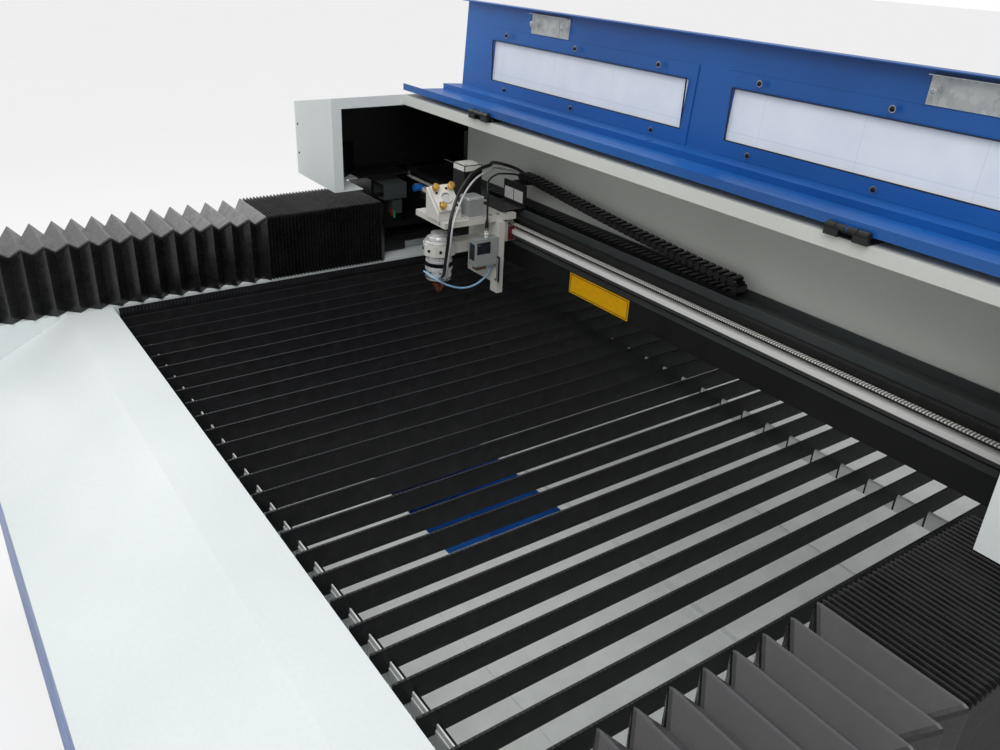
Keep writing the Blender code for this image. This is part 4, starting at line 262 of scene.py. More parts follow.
def linear(code):
    """An sRGB hex colour as linear RGBA."""
    parts = [int(code[i:i + 2], 16) / 255 for i in (1, 3, 5)]
    return (*[c / 12.92 if c <= 0.04045 else ((c + 0.055) / 1.055) ** 2.4 for c in parts], 1.0)


def feed(tree, node, inputs):
    """Sets or links the inputs of a node."""
    for key, value in dict(inputs).items():
        if isinstance(value, bpy.types.Node):
            value = value.outputs[0]
        if isinstance(value, bpy.types.NodeSocket):
            tree.links.new(value, node.inputs[key])
        else:
            node.inputs[key].default_value = value


def add_node(tree, kind, inputs=(), **settings):
    """One shader node with its settings, its input values and its links."""
    node = tree.nodes.new("ShaderNode" + kind)
    for key, value in settings.items():
        setattr(node, key, value)
    feed(tree, node, inputs)
    return node


def start_material(name, roughness, metallic=0.0, **sockets):
    """A new material, its node tree and its shader with the values that are the same all over."""
    material = bpy.data.materials.new(name)
    material.use_nodes = True
    tree = material.node_tree
    shader = tree.nodes["Principled BSDF"]
    feed(tree, shader, {"Roughness": roughness, "Metallic": metallic})
    feed(tree, shader, {key.replace("_", " "): value for key, value in sockets.items()})
    return material, tree, shader


def ramp(tree, factor, stops):
    """A colour ramp between hex colours at given places."""
    node = add_node(tree, "ValToRGB", {"Fac": factor})
    bands = node.color_ramp.elements
    while len(bands) < len(stops):
        bands.new(0.5)
    for band, (where, code) in zip(bands, stops):
        band.position, band.color = where, linear(code)
    return node


def surface_point(tree):
    """The point on the piece itself, which stays put on it as the piece moves."""
    return add_node(tree, "TexCoord").outputs["Object"]


def surface_xyz(tree):
    """The three coordinates of the point on the piece itself."""
    return add_node(tree, "SeparateXYZ", {"Vector": surface_point(tree)}).outputs


def facing_up(tree):
    """How far the surface faces up, from 1 on a level top to 0 on an upright side."""
    normal = add_node(tree, "NewGeometry").outputs["Normal"]
    return add_node(tree, "SeparateXYZ", {"Vector": normal}).outputs["Z"]


def grain(tree, size, detail=3.0, stretch=(1, 1, 1)):
    """Noise whose lumps have about this size in metres, and longer along a stretched axis."""
    scaled = add_node(tree, "Mapping", {"Vector": surface_point(tree), "Scale": stretch})
    inputs = {"Vector": scaled, "Scale": 1 / size, "Detail": detail}
    return add_node(tree, "TexNoise", inputs)


def bump(tree, shader, height, distance, strength=1.0):
    """Relief of a real depth in metres on the shader's normal."""
    inputs = {"Height": height, "Distance": distance, "Strength": strength}
    feed(tree, shader, {"Normal": add_node(tree, "Bump", inputs)})


print("material tools ready")

# %% [markdown]
# Powder coat is a plastic dust that melts on the sheet in an oven. It flows out into a fine
# orange-peel texture with lumps of about 1 mm, drawn here at 2 mm so that it shows. Handling
# leaves faint cloudy patches, and dust settles on what lies flat.
# %% Powder coats
PEEL = 2 * MM
PEEL_DEPTH = 0.04 * MM


def powder_coat(name, dark, middle, light, roughness, dust="#9A988E", dusty=0.0):
    material, tree, shader = start_material(name, roughness, IOR=1.5)
    clouds = ramp(tree, grain(tree, 0.35, 4), [(0.3, dark), (0.5, middle), (0.72, light)])
    fine = ramp(tree, grain(tree, 6 * MM, 5), [(0.35, "#E4E4E4"), (0.65, "#FFFFFF")])
    colour = add_node(tree, "MixRGB", {"Fac": 0.12, "Color1": clouds, "Color2": fine},
                      blend_type="MULTIPLY")
    if dusty:
        patches = add_node(tree, "Math", {0: grain(tree, 0.05, 5), 1: facing_up(tree)},
                           operation="MULTIPLY")
        amount = add_node(tree, "MapRange",
                          {"Value": patches, "From Min": 0.3, "From Max": 0.8, "To Max": dusty})
        colour = add_node(tree, "MixRGB", {"Fac": amount, "Color1": colour, "Color2": linear(dust)})
    gloss = add_node(tree, "MapRange", {"Value": grain(tree, 0.08, 4), "From Min": 0.3, "From Max": 0.7,
                                        "To Min": roughness - 0.06, "To Max": roughness + 0.07})
    feed(tree, shader, {"Base Color": colour, "Roughness": gloss})
    bump(tree, shader, grain(tree, PEEL, 2), PEEL_DEPTH, 0.8)
    return material


white_coat = powder_coat("powder_coat_white_sprayed", "#D6DDDE", "#DCE3E3", "#E0E7E7", 0.4)
blue_coat = powder_coat("powder_coat_blue_sprayed", "#0A4D92", "#0F57A2", "#1463B0", 0.33, dust="#5B7FB5",
                        dusty=0.06)
# The scrap drawer takes a lighter copy of the frame's blue as painted light, because it lies in deep shade
# under the blades.
drawer_coat_painted_light = powder_coat("powder_coat_blue_lightened_painted_light", "#2F7AD0", "#3A86DC", "#4592E6", 0.4)
# The tray and comb grey is painted near white as painted light that makes up for the shade under the
# blades; the dust on it is real.
grey_coat_painted_light = powder_coat("powder_coat_grey_lightened_painted_light", "#D9DEDC", "#E3E7E5", "#EBEEEC", 0.46,
                        dust="#8B877D", dusty=0.22)
# The housing takes a slightly greyer copy of the white coat as painted shade on its inner walls.
bay_coat_painted_shade = powder_coat("powder_coat_white_greyed_painted_shade", "#CDD0CA", "#D5D8D2", "#DCDFD9", 0.44)
slate_coat = powder_coat("powder_coat_slate_sprayed", "#323737", "#3E4343", "#484D4D", 0.42)
black_coat = powder_coat("satin_black_paint_sprayed", "#0B0B0C", "#101011", "#151516", 0.42, dust="#4A4843",
                         dusty=0.12)
part_grey = powder_coat("enamel_grey_sprayed", "#8B9090", "#979C9B", "#A2A7A6", 0.4)
print("powder coats:", 8)

# %% [markdown]
# The bare metals differ by how they were worked. Ground rails and pulleys have fine scratches
# all in one direction. The head's blocks are milled aluminium with a clear satin anodising,
# which dulls the marks. Galvanised sheet shows zinc crystals of about 8 mm, each at its own
# angle. Brass and the copper nozzle are turned, so their marks run round. The anodic skin and
# the polish on small parts scatter the light of the room, so those pieces are only partly
# metallic, and the marks break up the roughness of all. The rail on the beam has a painted
# highlight along the upper part of its front face and painted shade below it.
# %% Metals
RAIL_HIGHLIGHT_EDGE_Z = 0.899
MARK_DEPTH = 0.004 * MM


def worked_metal(name, dark, light, roughness, size, stretch, metallic=1.0):
    material, tree, shader = start_material(name, roughness, metallic)
    marks = grain(tree, size, 4, stretch)
    colour = ramp(tree, marks, [(0.3, dark), (0.7, light)])
    smears = add_node(tree, "MapRange", {"Value": grain(tree, 30 * MM, 4), "From Min": 0.3, "From Max": 0.7,
                                         "To Min": roughness - 0.07, "To Max": roughness + 0.1})
    feed(tree, shader, {"Base Color": colour, "Roughness": smears})
    bump(tree, shader, marks, MARK_DEPTH, 0.6)
    return material


def crystal_metal(name, dark, light, roughness, size):
    """Hot-dip zinc, whose flat crystals each take their own shade."""
    material, tree, shader = start_material(name, roughness, 0.45)
    cells = add_node(tree, "TexVoronoi", {"Vector": surface_point(tree), "Scale": 1 / size})
    shade = add_node(tree, "SeparateColor", {"Color": cells.outputs["Color"]})
    feed(tree, shader, {"Base Color": ramp(tree, shade.outputs[0], [(0.0, dark), (1.0, light)])})
    bump(tree, shader, grain(tree, 3 * MM), 0.01 * MM, 0.5)
    return material


def rail_steel():
    """A hardened rail with lengthwise grinding marks, a painted highlight on its upper part and painted
    shade below.
    """
    material, tree, shader = start_material("rail_steel_painted_highlight_and_shade", 0.26, 0.15)
    marks = grain(tree, 0.5 * MM, 4, (0.01, 1, 1))
    bright = ramp(tree, marks, [(0.3, "#EFEEEB"), (0.7, "#FFFEFB")])
    place_on = surface_xyz(tree)
    # The upper part of the rail is painted near white as a painted highlight, and the part below dark as
    # painted shade.
    highlight_band = add_node(tree, "MapRange",
                      {"Value": place_on["Z"], "From Min": RAIL_HIGHLIGHT_EDGE_Z - 0.5 * MM,
                       "From Max": RAIL_HIGHLIGHT_EDGE_Z + 0.5 * MM})
    mixed = add_node(tree, "MixRGB", {"Fac": highlight_band, "Color1": linear("#424243"), "Color2": bright})
    feed(tree, shader, {"Base Color": mixed})
    bump(tree, shader, marks, 0.003 * MM, 0.4)
    return material


ground_steel = worked_metal("steel_ground_bright", "#A9ABAD", "#D6D8DA", 0.24, 0.4 * MM, (1, 1, 12))
rail_painted_highlight = rail_steel()
satin_aluminium = worked_metal("aluminium_milled_anodised_satin", "#D2D0C9", "#E8E6E0", 0.36, 0.7 * MM,
                               (0.15, 1, 1), metallic=0.15)
bright_aluminium = worked_metal("aluminium_turned_bright", "#D0D1D1", "#EDEDEC", 0.24, 0.5 * MM, (1, 1, 6),
                                metallic=0.4)
zinc_sheet = crystal_metal("zinc_sheet_hot_dipped", "#A9ADAD", "#BFC3C2", 0.34, 8 * MM)
brass = worked_metal("brass_turned", "#CE9534", "#F6CE7A", 0.22, 0.4 * MM, (1, 1, 8), metallic=0.7)
copper = worked_metal("copper_nozzle_heat_darkened", "#5A2A1E", "#A65B40", 0.32, 1.2 * MM, (1, 1, 5))
screw_steel = worked_metal("screw_steel_zinc_plated", "#9EA1A4", "#CDD0D2", 0.28, 0.6 * MM, (1, 1, 1))
black_steel = worked_metal("screw_steel_blackened", "#141416", "#2A2A2D", 0.34, 0.6 * MM, (1, 1, 1),
                           metallic=0.6)
print("metals:", 9)

# %% [markdown]
# The blades are black steel strip set on edge. Sparks land on their upper edges, so the edges
# carry a row of melted beads every few millimetres, which catch the light as fine dashes. The
# shader finds the edge by its height and brightens it there in beads.
# %% Blade steel
BLADE_TOP = 0.737
BEAD_PITCH = 7 * MM
EDGE_DEPTH = 1.5 * MM


def blade_steel():
    material, tree, shader = start_material("blade_steel_spark_burnt", 0.45, 0.35)
    place_on = surface_xyz(tree)
    scale = ramp(tree, grain(tree, 20 * MM, 5), [(0.35, "#101012"), (0.6, "#1B1B1F"), (0.8, "#2B2927")])
    near_top = add_node(tree, "MapRange", {"Value": place_on["Z"],
                                           "From Min": BLADE_TOP - EDGE_DEPTH,
                                           "From Max": BLADE_TOP - 0.2 * MM})
    wave = add_node(tree, "Math", {0: place_on["Y"], 1: 2 * math.pi / BEAD_PITCH}, operation="MULTIPLY")
    sine = add_node(tree, "Math", {0: wave}, operation="SINE")
    ragged = add_node(tree, "Math", {0: sine, 1: grain(tree, 25 * MM, 4)}, operation="ADD")
    beads = add_node(tree, "MapRange", {"Value": ragged, "From Min": 0.85, "From Max": 1.35})
    edge = add_node(tree, "Math", {0: near_top, 1: beads}, operation="MULTIPLY")
    mixed = add_node(tree, "MixRGB", {"Fac": edge, "Color1": scale, "Color2": linear("#45464A")})
    gloss = add_node(tree, "MapRange", {"Value": edge, "To Min": 0.48, "To Max": 0.25})
    feed(tree, shader, {"Base Color": mixed, "Roughness": gloss})
    relief = add_node(tree, "Math", {0: edge, 1: grain(tree, 2 * MM, 3)}, operation="ADD")
    bump(tree, shader, relief, 0.3 * MM, 0.7)
    return material


blade_black = blade_steel()
print("blade beads every", BEAD_PITCH / MM, "mm")

# %% [markdown]
# Plastics, rubber and film scatter light a little under a smooth skin, so they are shown as
# non-metals with a faint mottle. Each takes the grain that its making leaves: a moulded link
# is finely sparked, a hose is smooth, and the bellows cloth is pressed with a leather grain
# of about 1.6 mm under a glossy coat. The cloth carries a painted highlight along the upper
# and inner edges of its pleats, and where it faces up it is painted paler, partly as dust and
# partly as a painted sheen.
# %% Plastics and coated cloth
BELLOWS_TOP = 0.893
BELLOWS_LOW_X = 0.699
RIGHT_BELLOWS_LOW_X = 0.715
WRINKLE_DEPTHS = 12.0
BELT_TOP_RUN_Z = 0.93
BELT_TOOTH_PITCH = 5 * MM


def moulded(name, dark, light, roughness, size=1.5 * MM, depth=0.03 * MM, **sockets):
    material, tree, shader = start_material(name, roughness, IOR=1.5, **sockets)
    feed(tree, shader, {"Base Color": ramp(tree, grain(tree, 12 * MM, 4), [(0.3, dark), (0.7, light)])})
    bump(tree, shader, grain(tree, size, 2), depth, 0.7)
    return material


def leather_grain(name, dark, light, roughness):
    """Coated cloth with the pebbles of a pressed leather grain and a painted highlight along its ridges."""
    material, tree, shader = start_material(name, roughness, IOR=1.5)
    pebbles = add_node(tree, "TexVoronoi", {"Vector": surface_point(tree), "Scale": 1 / (1.6 * MM)},
                       feature="SMOOTH_F1")
    cloth = ramp(tree, grain(tree, 40 * MM, 4), [(0.3, dark), (0.7, light)])
    place_on = surface_xyz(tree)
    # The upper and inner edges of the pleats are painted paler as a painted highlight.
    upper = add_node(tree, "MapRange", {"Value": place_on["Z"],
                                        "From Min": BELLOWS_TOP - 2.6 * MM,
                                        "From Max": BELLOWS_TOP - 0.6 * MM})
    aside = add_node(tree, "Math", {0: place_on["X"]}, operation="ABSOLUTE")
    inner = add_node(tree, "MapRange", {"Value": aside, "To Max": 0.35,
                                        "From Min": BELLOWS_LOW_X + 2.2 * MM,
                                        "From Max": BELLOWS_LOW_X + 0.4 * MM})
    ridge_highlight = add_node(tree, "Math", {0: upper, 1: inner}, operation="MAXIMUM")
    mixed = add_node(tree, "MixRGB", {"Fac": ridge_highlight, "Color1": cloth, "Color2": linear("#2E2F31")})
    # Faces that look up are painted paler, partly as dust and partly as a painted sheen.
    dust = add_node(tree, "MapRange",
                    {"Value": facing_up(tree), "From Min": 0.5, "From Max": 0.75, "To Max": 0.4})
    dust_and_sheen = add_node(tree, "MixRGB", {"Fac": dust, "Color1": mixed, "Color2": linear("#6E6E70")})
    wrinkles = add_node(tree, "Math", {0: grain(tree, 22 * MM, 2), 1: WRINKLE_DEPTHS}, operation="MULTIPLY")
    relief = add_node(tree, "Math", {0: pebbles.outputs["Distance"], 1: wrinkles}, operation="ADD")
    bump(tree, shader, relief, 0.05 * MM, 0.6)
    worn = add_node(tree, "MapRange", {"Value": grain(tree, 15 * MM, 4), "From Min": 0.3, "From Max": 0.7,
                                       "To Min": roughness - 0.05, "To Max": roughness + 0.12})
    feed(tree, shader, {"Base Color": dust_and_sheen, "Roughness": worn})
    return material


def ribbed_belt():
    """A toothed urethane belt whose steel cords and teeth show as ribs across it."""
    material, tree, shader = start_material("belt_urethane_moulded", 0.42, IOR=1.5)
    place_on = surface_xyz(tree)
    wave = add_node(tree, "Math", {0: place_on["X"], 1: 2 * math.pi / BELT_TOOTH_PITCH},
                    operation="MULTIPLY")
    sine = add_node(tree, "Math", {0: wave}, operation="SINE")
    ribs = add_node(tree, "MapRange", {"Value": sine, "From Min": -0.4, "From Max": 0.4})
    toothed = ramp(tree, ribs, [(0.0, "#74746E"), (1.0, "#FAF8F2")])
    upper = add_node(tree, "MapRange",
                     {"Value": place_on["Z"], "From Min": BELT_TOP_RUN_Z,
                      "From Max": BELT_TOP_RUN_Z + 1 * MM})
    mixed = add_node(tree, "MixRGB", {"Fac": upper, "Color1": toothed, "Color2": linear("#1B1C1C")})
    feed(tree, shader, {"Base Color": mixed})
    bump(tree, shader, ribs, 0.8 * MM, 0.8)
    return material


bellows_cloth = leather_grain("bellows_cloth_coated_pressed", "#111112", "#1D1D1E", 0.22)
belt_urethane = ribbed_belt()
black_nylon = moulded("nylon_black_moulded", "#0D0D0E", "#1A1A1C", 0.4)
black_hose = moulded("hose_polyamide_black_extruded", "#101012", "#1E1E21", 0.3, 3 * MM, 0.02 * MM)
silver_hose = moulded("hose_urethane_silver_extruded", "#A9ACB0", "#CFD2D5", 0.26, 3 * MM, 0.02 * MM,
                      Coat_Weight=0.4)
blue_tube = moulded("hose_urethane_light_blue_extruded", "#7FB4DA", "#A5CDE8", 0.28, 3 * MM, 0.02 * MM,
                    Coat_Weight=0.3)
blue_plastic = moulded("fitting_blue_moulded", "#1567B8", "#1F7FD6", 0.32)
white_plastic = moulded("pad_white_moulded", "#D2D4D2", "#E4E6E4", 0.45)
dark_plastic = moulded("display_dark_moulded", "#1C2026", "#272C34", 0.25, Coat_Weight=0.5)
red_plastic = moulded("connector_red_moulded", "#5E161A", "#7C2025", 0.4)
green_plastic = moulded("connector_green_moulded", "#1F6B3C", "#2D8550", 0.42)
glass_tube = moulded("laser_tube_borosilicate_drawn", "#CBD6DA", "#E1EAED", 0.08, 30 * MM, 0.02 * MM,
                     Transmission_Weight=0.75)
yellow_ink = moulded("label_film_yellow_printed", "#E0A400", "#ECB212", 0.38, 1 * MM, 0.01 * MM)
black_ink = moulded("label_film_black_printed", "#0E0E0F", "#18181A", 0.4, 1 * MM, 0.01 * MM)
brown_plastic = moulded("connector_brown_moulded", "#4A3A2A", "#6B5540", 0.42)
print("plastics and cloth:", 15)

# %% [markdown]
# The window panes are clear acrylic that still wears its white protective film. The film is
# printed with faint upright lines every 87 mm and one level line. It is matt and slightly
# blue, with soft clouds where it lies uneven, which gives the pale windows their look.
# %% Window film
PANE_LOW = 1.175
PANE_STEP = 0.087
PANE_LINE_Z = PANE_LOW + 14 * MM


def window_film():
    material, tree, shader = start_material("window_film_protective_printed", 0.36, IOR=1.46)
    place_on = surface_xyz(tree)
    step = add_node(tree, "Math", {0: place_on["X"], 1: PANE_STEP}, operation="PINGPONG")
    upright = add_node(tree, "MapRange", {"Value": step, "From Min": 0.6 * MM, "From Max": 0.1 * MM})
    level = add_node(tree, "Math", {0: place_on["Z"], 1: PANE_LINE_Z}, operation="SUBTRACT")
    near = add_node(tree, "Math", {0: level}, operation="ABSOLUTE")
    across = add_node(tree, "MapRange", {"Value": near, "From Min": 0.6 * MM, "From Max": 0.1 * MM})
    lines = add_node(tree, "Math", {0: upright, 1: across}, operation="MAXIMUM")
    faint = add_node(tree, "Math", {0: lines, 1: 0.3}, operation="MULTIPLY")
    base = ramp(tree, grain(tree, 60 * MM, 3), [(0.3, "#E2E8F1"), (0.7, "#EDF1F6")])
    mixed = add_node(tree, "MixRGB", {"Fac": faint, "Color1": base, "Color2": linear("#6F8CA0")})
    feed(tree, shader, {"Base Color": mixed})
    bump(tree, shader, grain(tree, 25 * MM, 3), 0.15 * MM, 0.5)
    return material


film_white = window_film()
print("film lines every", PANE_STEP / MM, "mm")

# %% [markdown]
# Now the solids that come from the CAD model take their finishes. They stay as they are.
# %% Finish the CAD solids
FINISHES = {
    blue_coat: "base_frame front_panel rear_panel left_panel right_panel lid_shell "
               "left_window_frame right_window_frame",
    white_coat: "left_side_cover right_side_cover front_shroud rear_shroud left_end_box right_end_box",
    bay_coat_painted_shade: "housing_shell",
    drawer_coat_painted_light: "scrap_drawer",
    black_coat: "gantry_beam left_gantry_foot right_gantry_foot chain_bracket z_motor x_motor gear_motor "
                "first_mirror second_mirror",
    slate_coat: "chain_tray",
    grey_coat_painted_light: "scrap_tray",
    blade_black: "blade_table",
    rail_painted_highlight: "x_rail",
    ground_steel: "left_y_rail right_y_rail cross_shaft x_drive_pulley x_idler_pulley",
    satin_aluminium: "carriage_plate head_mirror tube_clamp",
    bright_aluminium: "lens_tube",
    zinc_sheet: "left_handle right_handle tube_cradle x_bearing_block",
    belt_urethane: "x_belt",
    part_grey: "mirror_air_block height_sensor_box",
    black_nylon: "left_hinge right_hinge drag_chain",
    film_white: "left_window_pane right_window_pane",
    glass_tube: "laser_tube",
    copper: "nozzle",
    bellows_cloth: "left_front_bellows right_front_bellows left_rear_bellows right_rear_bellows",
    black_hose: "head_hose signal_cable",
    silver_hose: "air_line",
    blue_tube: "loop_tube",
}
finished = 0
for finish, names in FINISHES.items():
    for node_name in names.split():
        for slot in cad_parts[node_name].material_slots:
            slot.material = finish
        finished += 1
print("finished", finished, "of", len(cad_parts), "solids")

# %% [markdown]
# Four lines serve the head: a black corrugated hose with a silver air line beside it, a signal
# cable that ends in a coaxial plug on the height sensor, and a light-blue loop from the lens
# tube to the sensor. The first three come out of the end of the cable chain, arch over the
# head under their own stiffness and go down to it. Each line is one smooth curve of fixed
# length.
# %% Cords to the head
CORD_CORNER = place(-0.392, 0.859, 0.935)
HOSE_ROUTE = (
    (-0.0133, 0.22, 0.0685), (-0.029, 0.219, 0.072), (-0.044, 0.209, 0.078), (-0.047, 0.189, 0.085),
    (-0.038, 0.163, 0.093), (-0.019, 0.136, 0.1), (0.008, 0.113, 0.1035), (0.018, 0.086, 0.102),
    (0.023, 0.061, 0.094), (0.032, 0.039, 0.081), (0.044, 0.02, 0.069), (0.06, 0.0015, 0.058),
    (0.072, -0.013, 0.043), (0.0775, -0.021, 0.029), (0.079, -0.0245, 0.013), (0.078, -0.0255, -0.005),
    (0.0745, -0.0255, -0.027), (0.066, -0.023, -0.051), (0.053, -0.018, -0.079), (0.044, -0.0145, -0.095),
    (0.036, -0.013, -0.105), (0.0262, -0.0109, -0.1107),
)
AIR_ROUTE = (
    (-0.0133, 0.2125, 0.068), (-0.023, 0.2118, 0.0695), (-0.032, 0.204, 0.073), (-0.033, 0.186, 0.078),
    (-0.025, 0.161, 0.085), (-0.009, 0.136, 0.092), (0.013, 0.115, 0.095), (0.025, 0.089, 0.094),
    (0.032, 0.065, 0.0875), (0.04, 0.0435, 0.0755), (0.051, 0.0245, 0.0635), (0.066, 0.0065, 0.053),
    (0.078, -0.009, 0.039), (0.085, -0.0185, 0.026), (0.087, -0.0235, 0.011), (0.086, -0.025, -0.007),
    (0.082, -0.0245, -0.029), (0.073, -0.022, -0.053), (0.0605, -0.017, -0.081), (0.051, -0.0115, -0.097),
    (0.04, -0.007, -0.108), (0.0269, -0.0048, -0.1134),
)
SIGNAL_ROUTE = (
    (-0.0133, 0.205, 0.0675), (-0.018, 0.2035, 0.068), (-0.022, 0.197, 0.0695), (-0.02, 0.181, 0.0725),
    (-0.011, 0.159, 0.077), (0.003, 0.137, 0.082), (0.02, 0.118, 0.085), (0.035, 0.099, 0.086),
    (0.047, 0.084, 0.082), (0.056, 0.076, 0.073), (0.06, 0.0745, 0.061), (0.061, 0.0745, 0.045),
    (0.061, 0.0745, 0.027), (0.061, 0.0745, 0.01), (0.061, 0.0745, -0.0067),
)
LOOP_ROUTE = (
    (-0.008, -0.0305, -0.104), (0.005, -0.0335, -0.102), (0.019, -0.032, -0.104), (0.03, -0.024, -0.11),
    (0.035, -0.011, -0.119), (0.0375, 0.009, -0.129), (0.0385, 0.031, -0.136), (0.039, 0.051, -0.137),
    (0.0395, 0.069, -0.133), (0.042, 0.083, -0.124), (0.047, 0.09, -0.113), (0.052, 0.091, -0.1),
    (0.053, 0.091, -0.0863),
)
RIB_STEP = 1.3 * MM
PATH_POINTS = 90
SMOOTH_POINTS = 110


def head_line(name, node, route, diameter, material, ribbed=0.0):
    """A tube along a route, with fine ribs where it is a corrugated hose."""
    corner = [CORD_CORNER + Vector(step) for step in route]
    path, length = spline_points(corner, PATH_POINTS)
    count = round(length / RIB_STEP) if ribbed else SMOOTH_POINTS
    points, _ = spline_points(corner, count)
    radii = [diameter / 2 - (ribbed if k % 2 else 0) for k in range(len(points))]
    bm = bmesh.new()
    add_tube(bm, points, radii)
    piece = make_piece(name, bm, material, None)
    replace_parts(piece, node)
    print(name, round(length, 3), "m")
    return piece


hose = head_line("head_hose_corrugated", "head_hose", HOSE_ROUTE, 0.007, black_hose,
                 0.35 * MM)
air = head_line("air_line_silver", "air_line", AIR_ROUTE, 0.004, silver_hose)
signal = head_line("signal_cable_black", "signal_cable", SIGNAL_ROUTE, 0.004, black_hose)
loop = head_line("loop_tube_blue", "loop_tube", LOOP_ROUTE, 0.004, blue_tube)
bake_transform(hose)
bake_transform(air)
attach(signal, "carriage")
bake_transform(loop)

# %% [markdown]
# The bellows keep sparks and dust off the two rails. Each is one length of coated cloth folded
# into pleats over plastic frames, with the pleats gathered tight beside the gantry and more
# open at the far end. The cloth stretches evenly as the gantry travels. Each bellows is cut
# into short sections at fixed shares of its length.
# %% Pleated bellows
BELLOWS_HIGH_X = 0.871
BELLOWS_BOTTOM = 0.7503
OPEN_PLEAT = 0.0395
TIGHT_PLEAT = 0.008
TIGHT_FROM = 0.612
FRONT_FAR, FRONT_NEAR = 0.022, 0.8997
REAR_FAR, REAR_NEAR = 3.378, 1.2453
OPEN_DEPTH = 0.019
TIGHT_DEPTH = 0.009
WELT = 1.6 * MM
PLEAT_CORNER = 6 * MM
SECTION_SHARES = (0.0, 0.02, 0.08, 0.2, 0.4, 0.6, 0.8, 0.92, 0.98, 1.0)


def pleat_ring(side, setback, depth):
    """The outline of one fold, drawn in from the outer outline by depth."""
    low, high = (BELLOWS_LOW_X if side < 0 else RIGHT_BELLOWS_LOW_X) + depth, BELLOWS_HIGH_X - depth
    top, corner = BELLOWS_TOP - depth, PLEAT_CORNER
    foot, cut = BELLOWS_BOTTOM, corner * 0.3
    outline = [(low, foot), (low, foot + 0.05), (low, top - corner), (low + cut, top - cut),
               (low + corner, top), ((low + high) / 2, top), (high - corner, top),
               (high - cut, top - cut), (high, top - corner), (high, foot + 0.05), (high, foot)]
    return [Vector((side * x, front_y(setback), z)) for x, z in outline]


def pleat_folds(far, near, tight_from):
    """Setbacks from the far end to the near end, each with how deep the cloth is drawn in there."""
    step = 1 if near > far else -1
    folds, setback = [(far, 0.0)], far
    while (near - setback) * step > 1.5 * TIGHT_PLEAT:
        tight = tight_from is not None and (setback - tight_from) * step >= 0
        pitch, depth = (TIGHT_PLEAT, TIGHT_DEPTH) if tight else (OPEN_PLEAT, OPEN_DEPTH)
        drift = noise.noise(Vector((setback * 30, far, near)))
        pitch = min(pitch * (1 + 0.1 * drift), (near - setback) * step)
        folds.append((setback + step * pitch / 2, depth * (1 + 0.12 * drift)))
        if not tight and pitch > 2 * TIGHT_PLEAT:
            folds.append((setback + step * (pitch - WELT), WELT * 0.8))
        setback += step * pitch
        folds.append((setback, 0.0))
    folds.append((near, TIGHT_DEPTH))
    return folds


def bellows(name, side, far, near, tight_from=None):
    """Sections of pleats from the far end on the bed to the near end, and how many they are."""
    span = near - far
    folds = pleat_folds(far, near, tight_from)
    made = 0
    for part, (first, last) in enumerate(zip(SECTION_SHARES, SECTION_SHARES[1:]), 1):
        picked = [k for k, fold in enumerate(folds) if first <= (fold[0] - far) / span <= last]
        if not picked or picked[-1] == 0:
            continue
        if picked[0]:
            picked.insert(0, picked[0] - 1)
        bm = bmesh.new()
        rings = [[bm.verts.new(point) for point in pleat_ring(side, *folds[k])] for k in picked]
        for low, high in zip(rings, rings[1:]):
            add_band(bm, low, high)
        for k, ring in ((picked[0], rings[0]), (picked[-1], rings[-1])):
            if k in (0, len(folds) - 1):
                bm.faces.new(ring)
        piece = make_piece(f"{name}_pleats_{part}", bm, bellows_cloth, None)
        piece.data.shade_flat()
        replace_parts(piece, name + "_bellows")
        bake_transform(piece)
        made += 1
    return made


for side_name, side in (("left", -1), ("right", 1)):
    front = bellows(side_name + "_front", side, FRONT_FAR, FRONT_NEAR, TIGHT_FROM)
    rear = bellows(side_name + "_rear", side, REAR_FAR, REAR_NEAR)
    print(side_name, "bellows:", front, "front sections,", rear, "rear sections")

# %% [markdown]
# The cable chain is a row of moulded links with open frames, each pinned to the next. It lies
# in its tray, turns back on itself and rises to the carriage. The upper run travels with the
# carriage, the lower run lies still, and the bend between them moves half as far, so the
# chain is built as three pieces: the lower run, the bend and the upper run.
# %% Cable chain
LINK = 0.015
CHAIN_LOW_Z = 0.9396
CHAIN_BEND = (0.188, 0.0125)
CHAIN_FIXED_X = -0.52
CHAIN_MOVING = (-0.405, 1.0026)
CHAIN_MIDDLE = front_y(1.072)
CHAIN_HALF_WIDTH = 0.0128
CHAIN_HALF_HEIGHT = 0.0073
BRIDGE = 0.0045
OUTER_WALL = 0.0022
TAB_HALF_HEIGHT = 0.0055
RISE_SHARE = 0.93
RISE_POWER = 1.4


def chain_place(s):
    """The place and the direction at a distance along the chain's line."""
    bend_x, radius = CHAIN_BEND
    lower, arc, upper = bend_x - CHAIN_FIXED_X, math.pi * radius, bend_x - CHAIN_MOVING[0]
    high_z = CHAIN_LOW_Z + 2 * radius
    if s <= lower:
        return (CHAIN_FIXED_X + s, CHAIN_LOW_Z), 0.0
    if s <= lower + arc:
        angle = (s - lower) / radius
        return (bend_x + radius * math.sin(angle), CHAIN_LOW_Z + radius * (1 - math.cos(angle))), angle
    reach = s - lower - arc
    share = min(1, reach / (RISE_SHARE * upper))
    rise = (CHAIN_MOVING[1] - high_z) * share ** RISE_POWER
    slope = RISE_POWER * rise / reach if 0 < share < 1 else 0
    return (bend_x - reach, high_z + rise), math.pi - math.atan(slope)


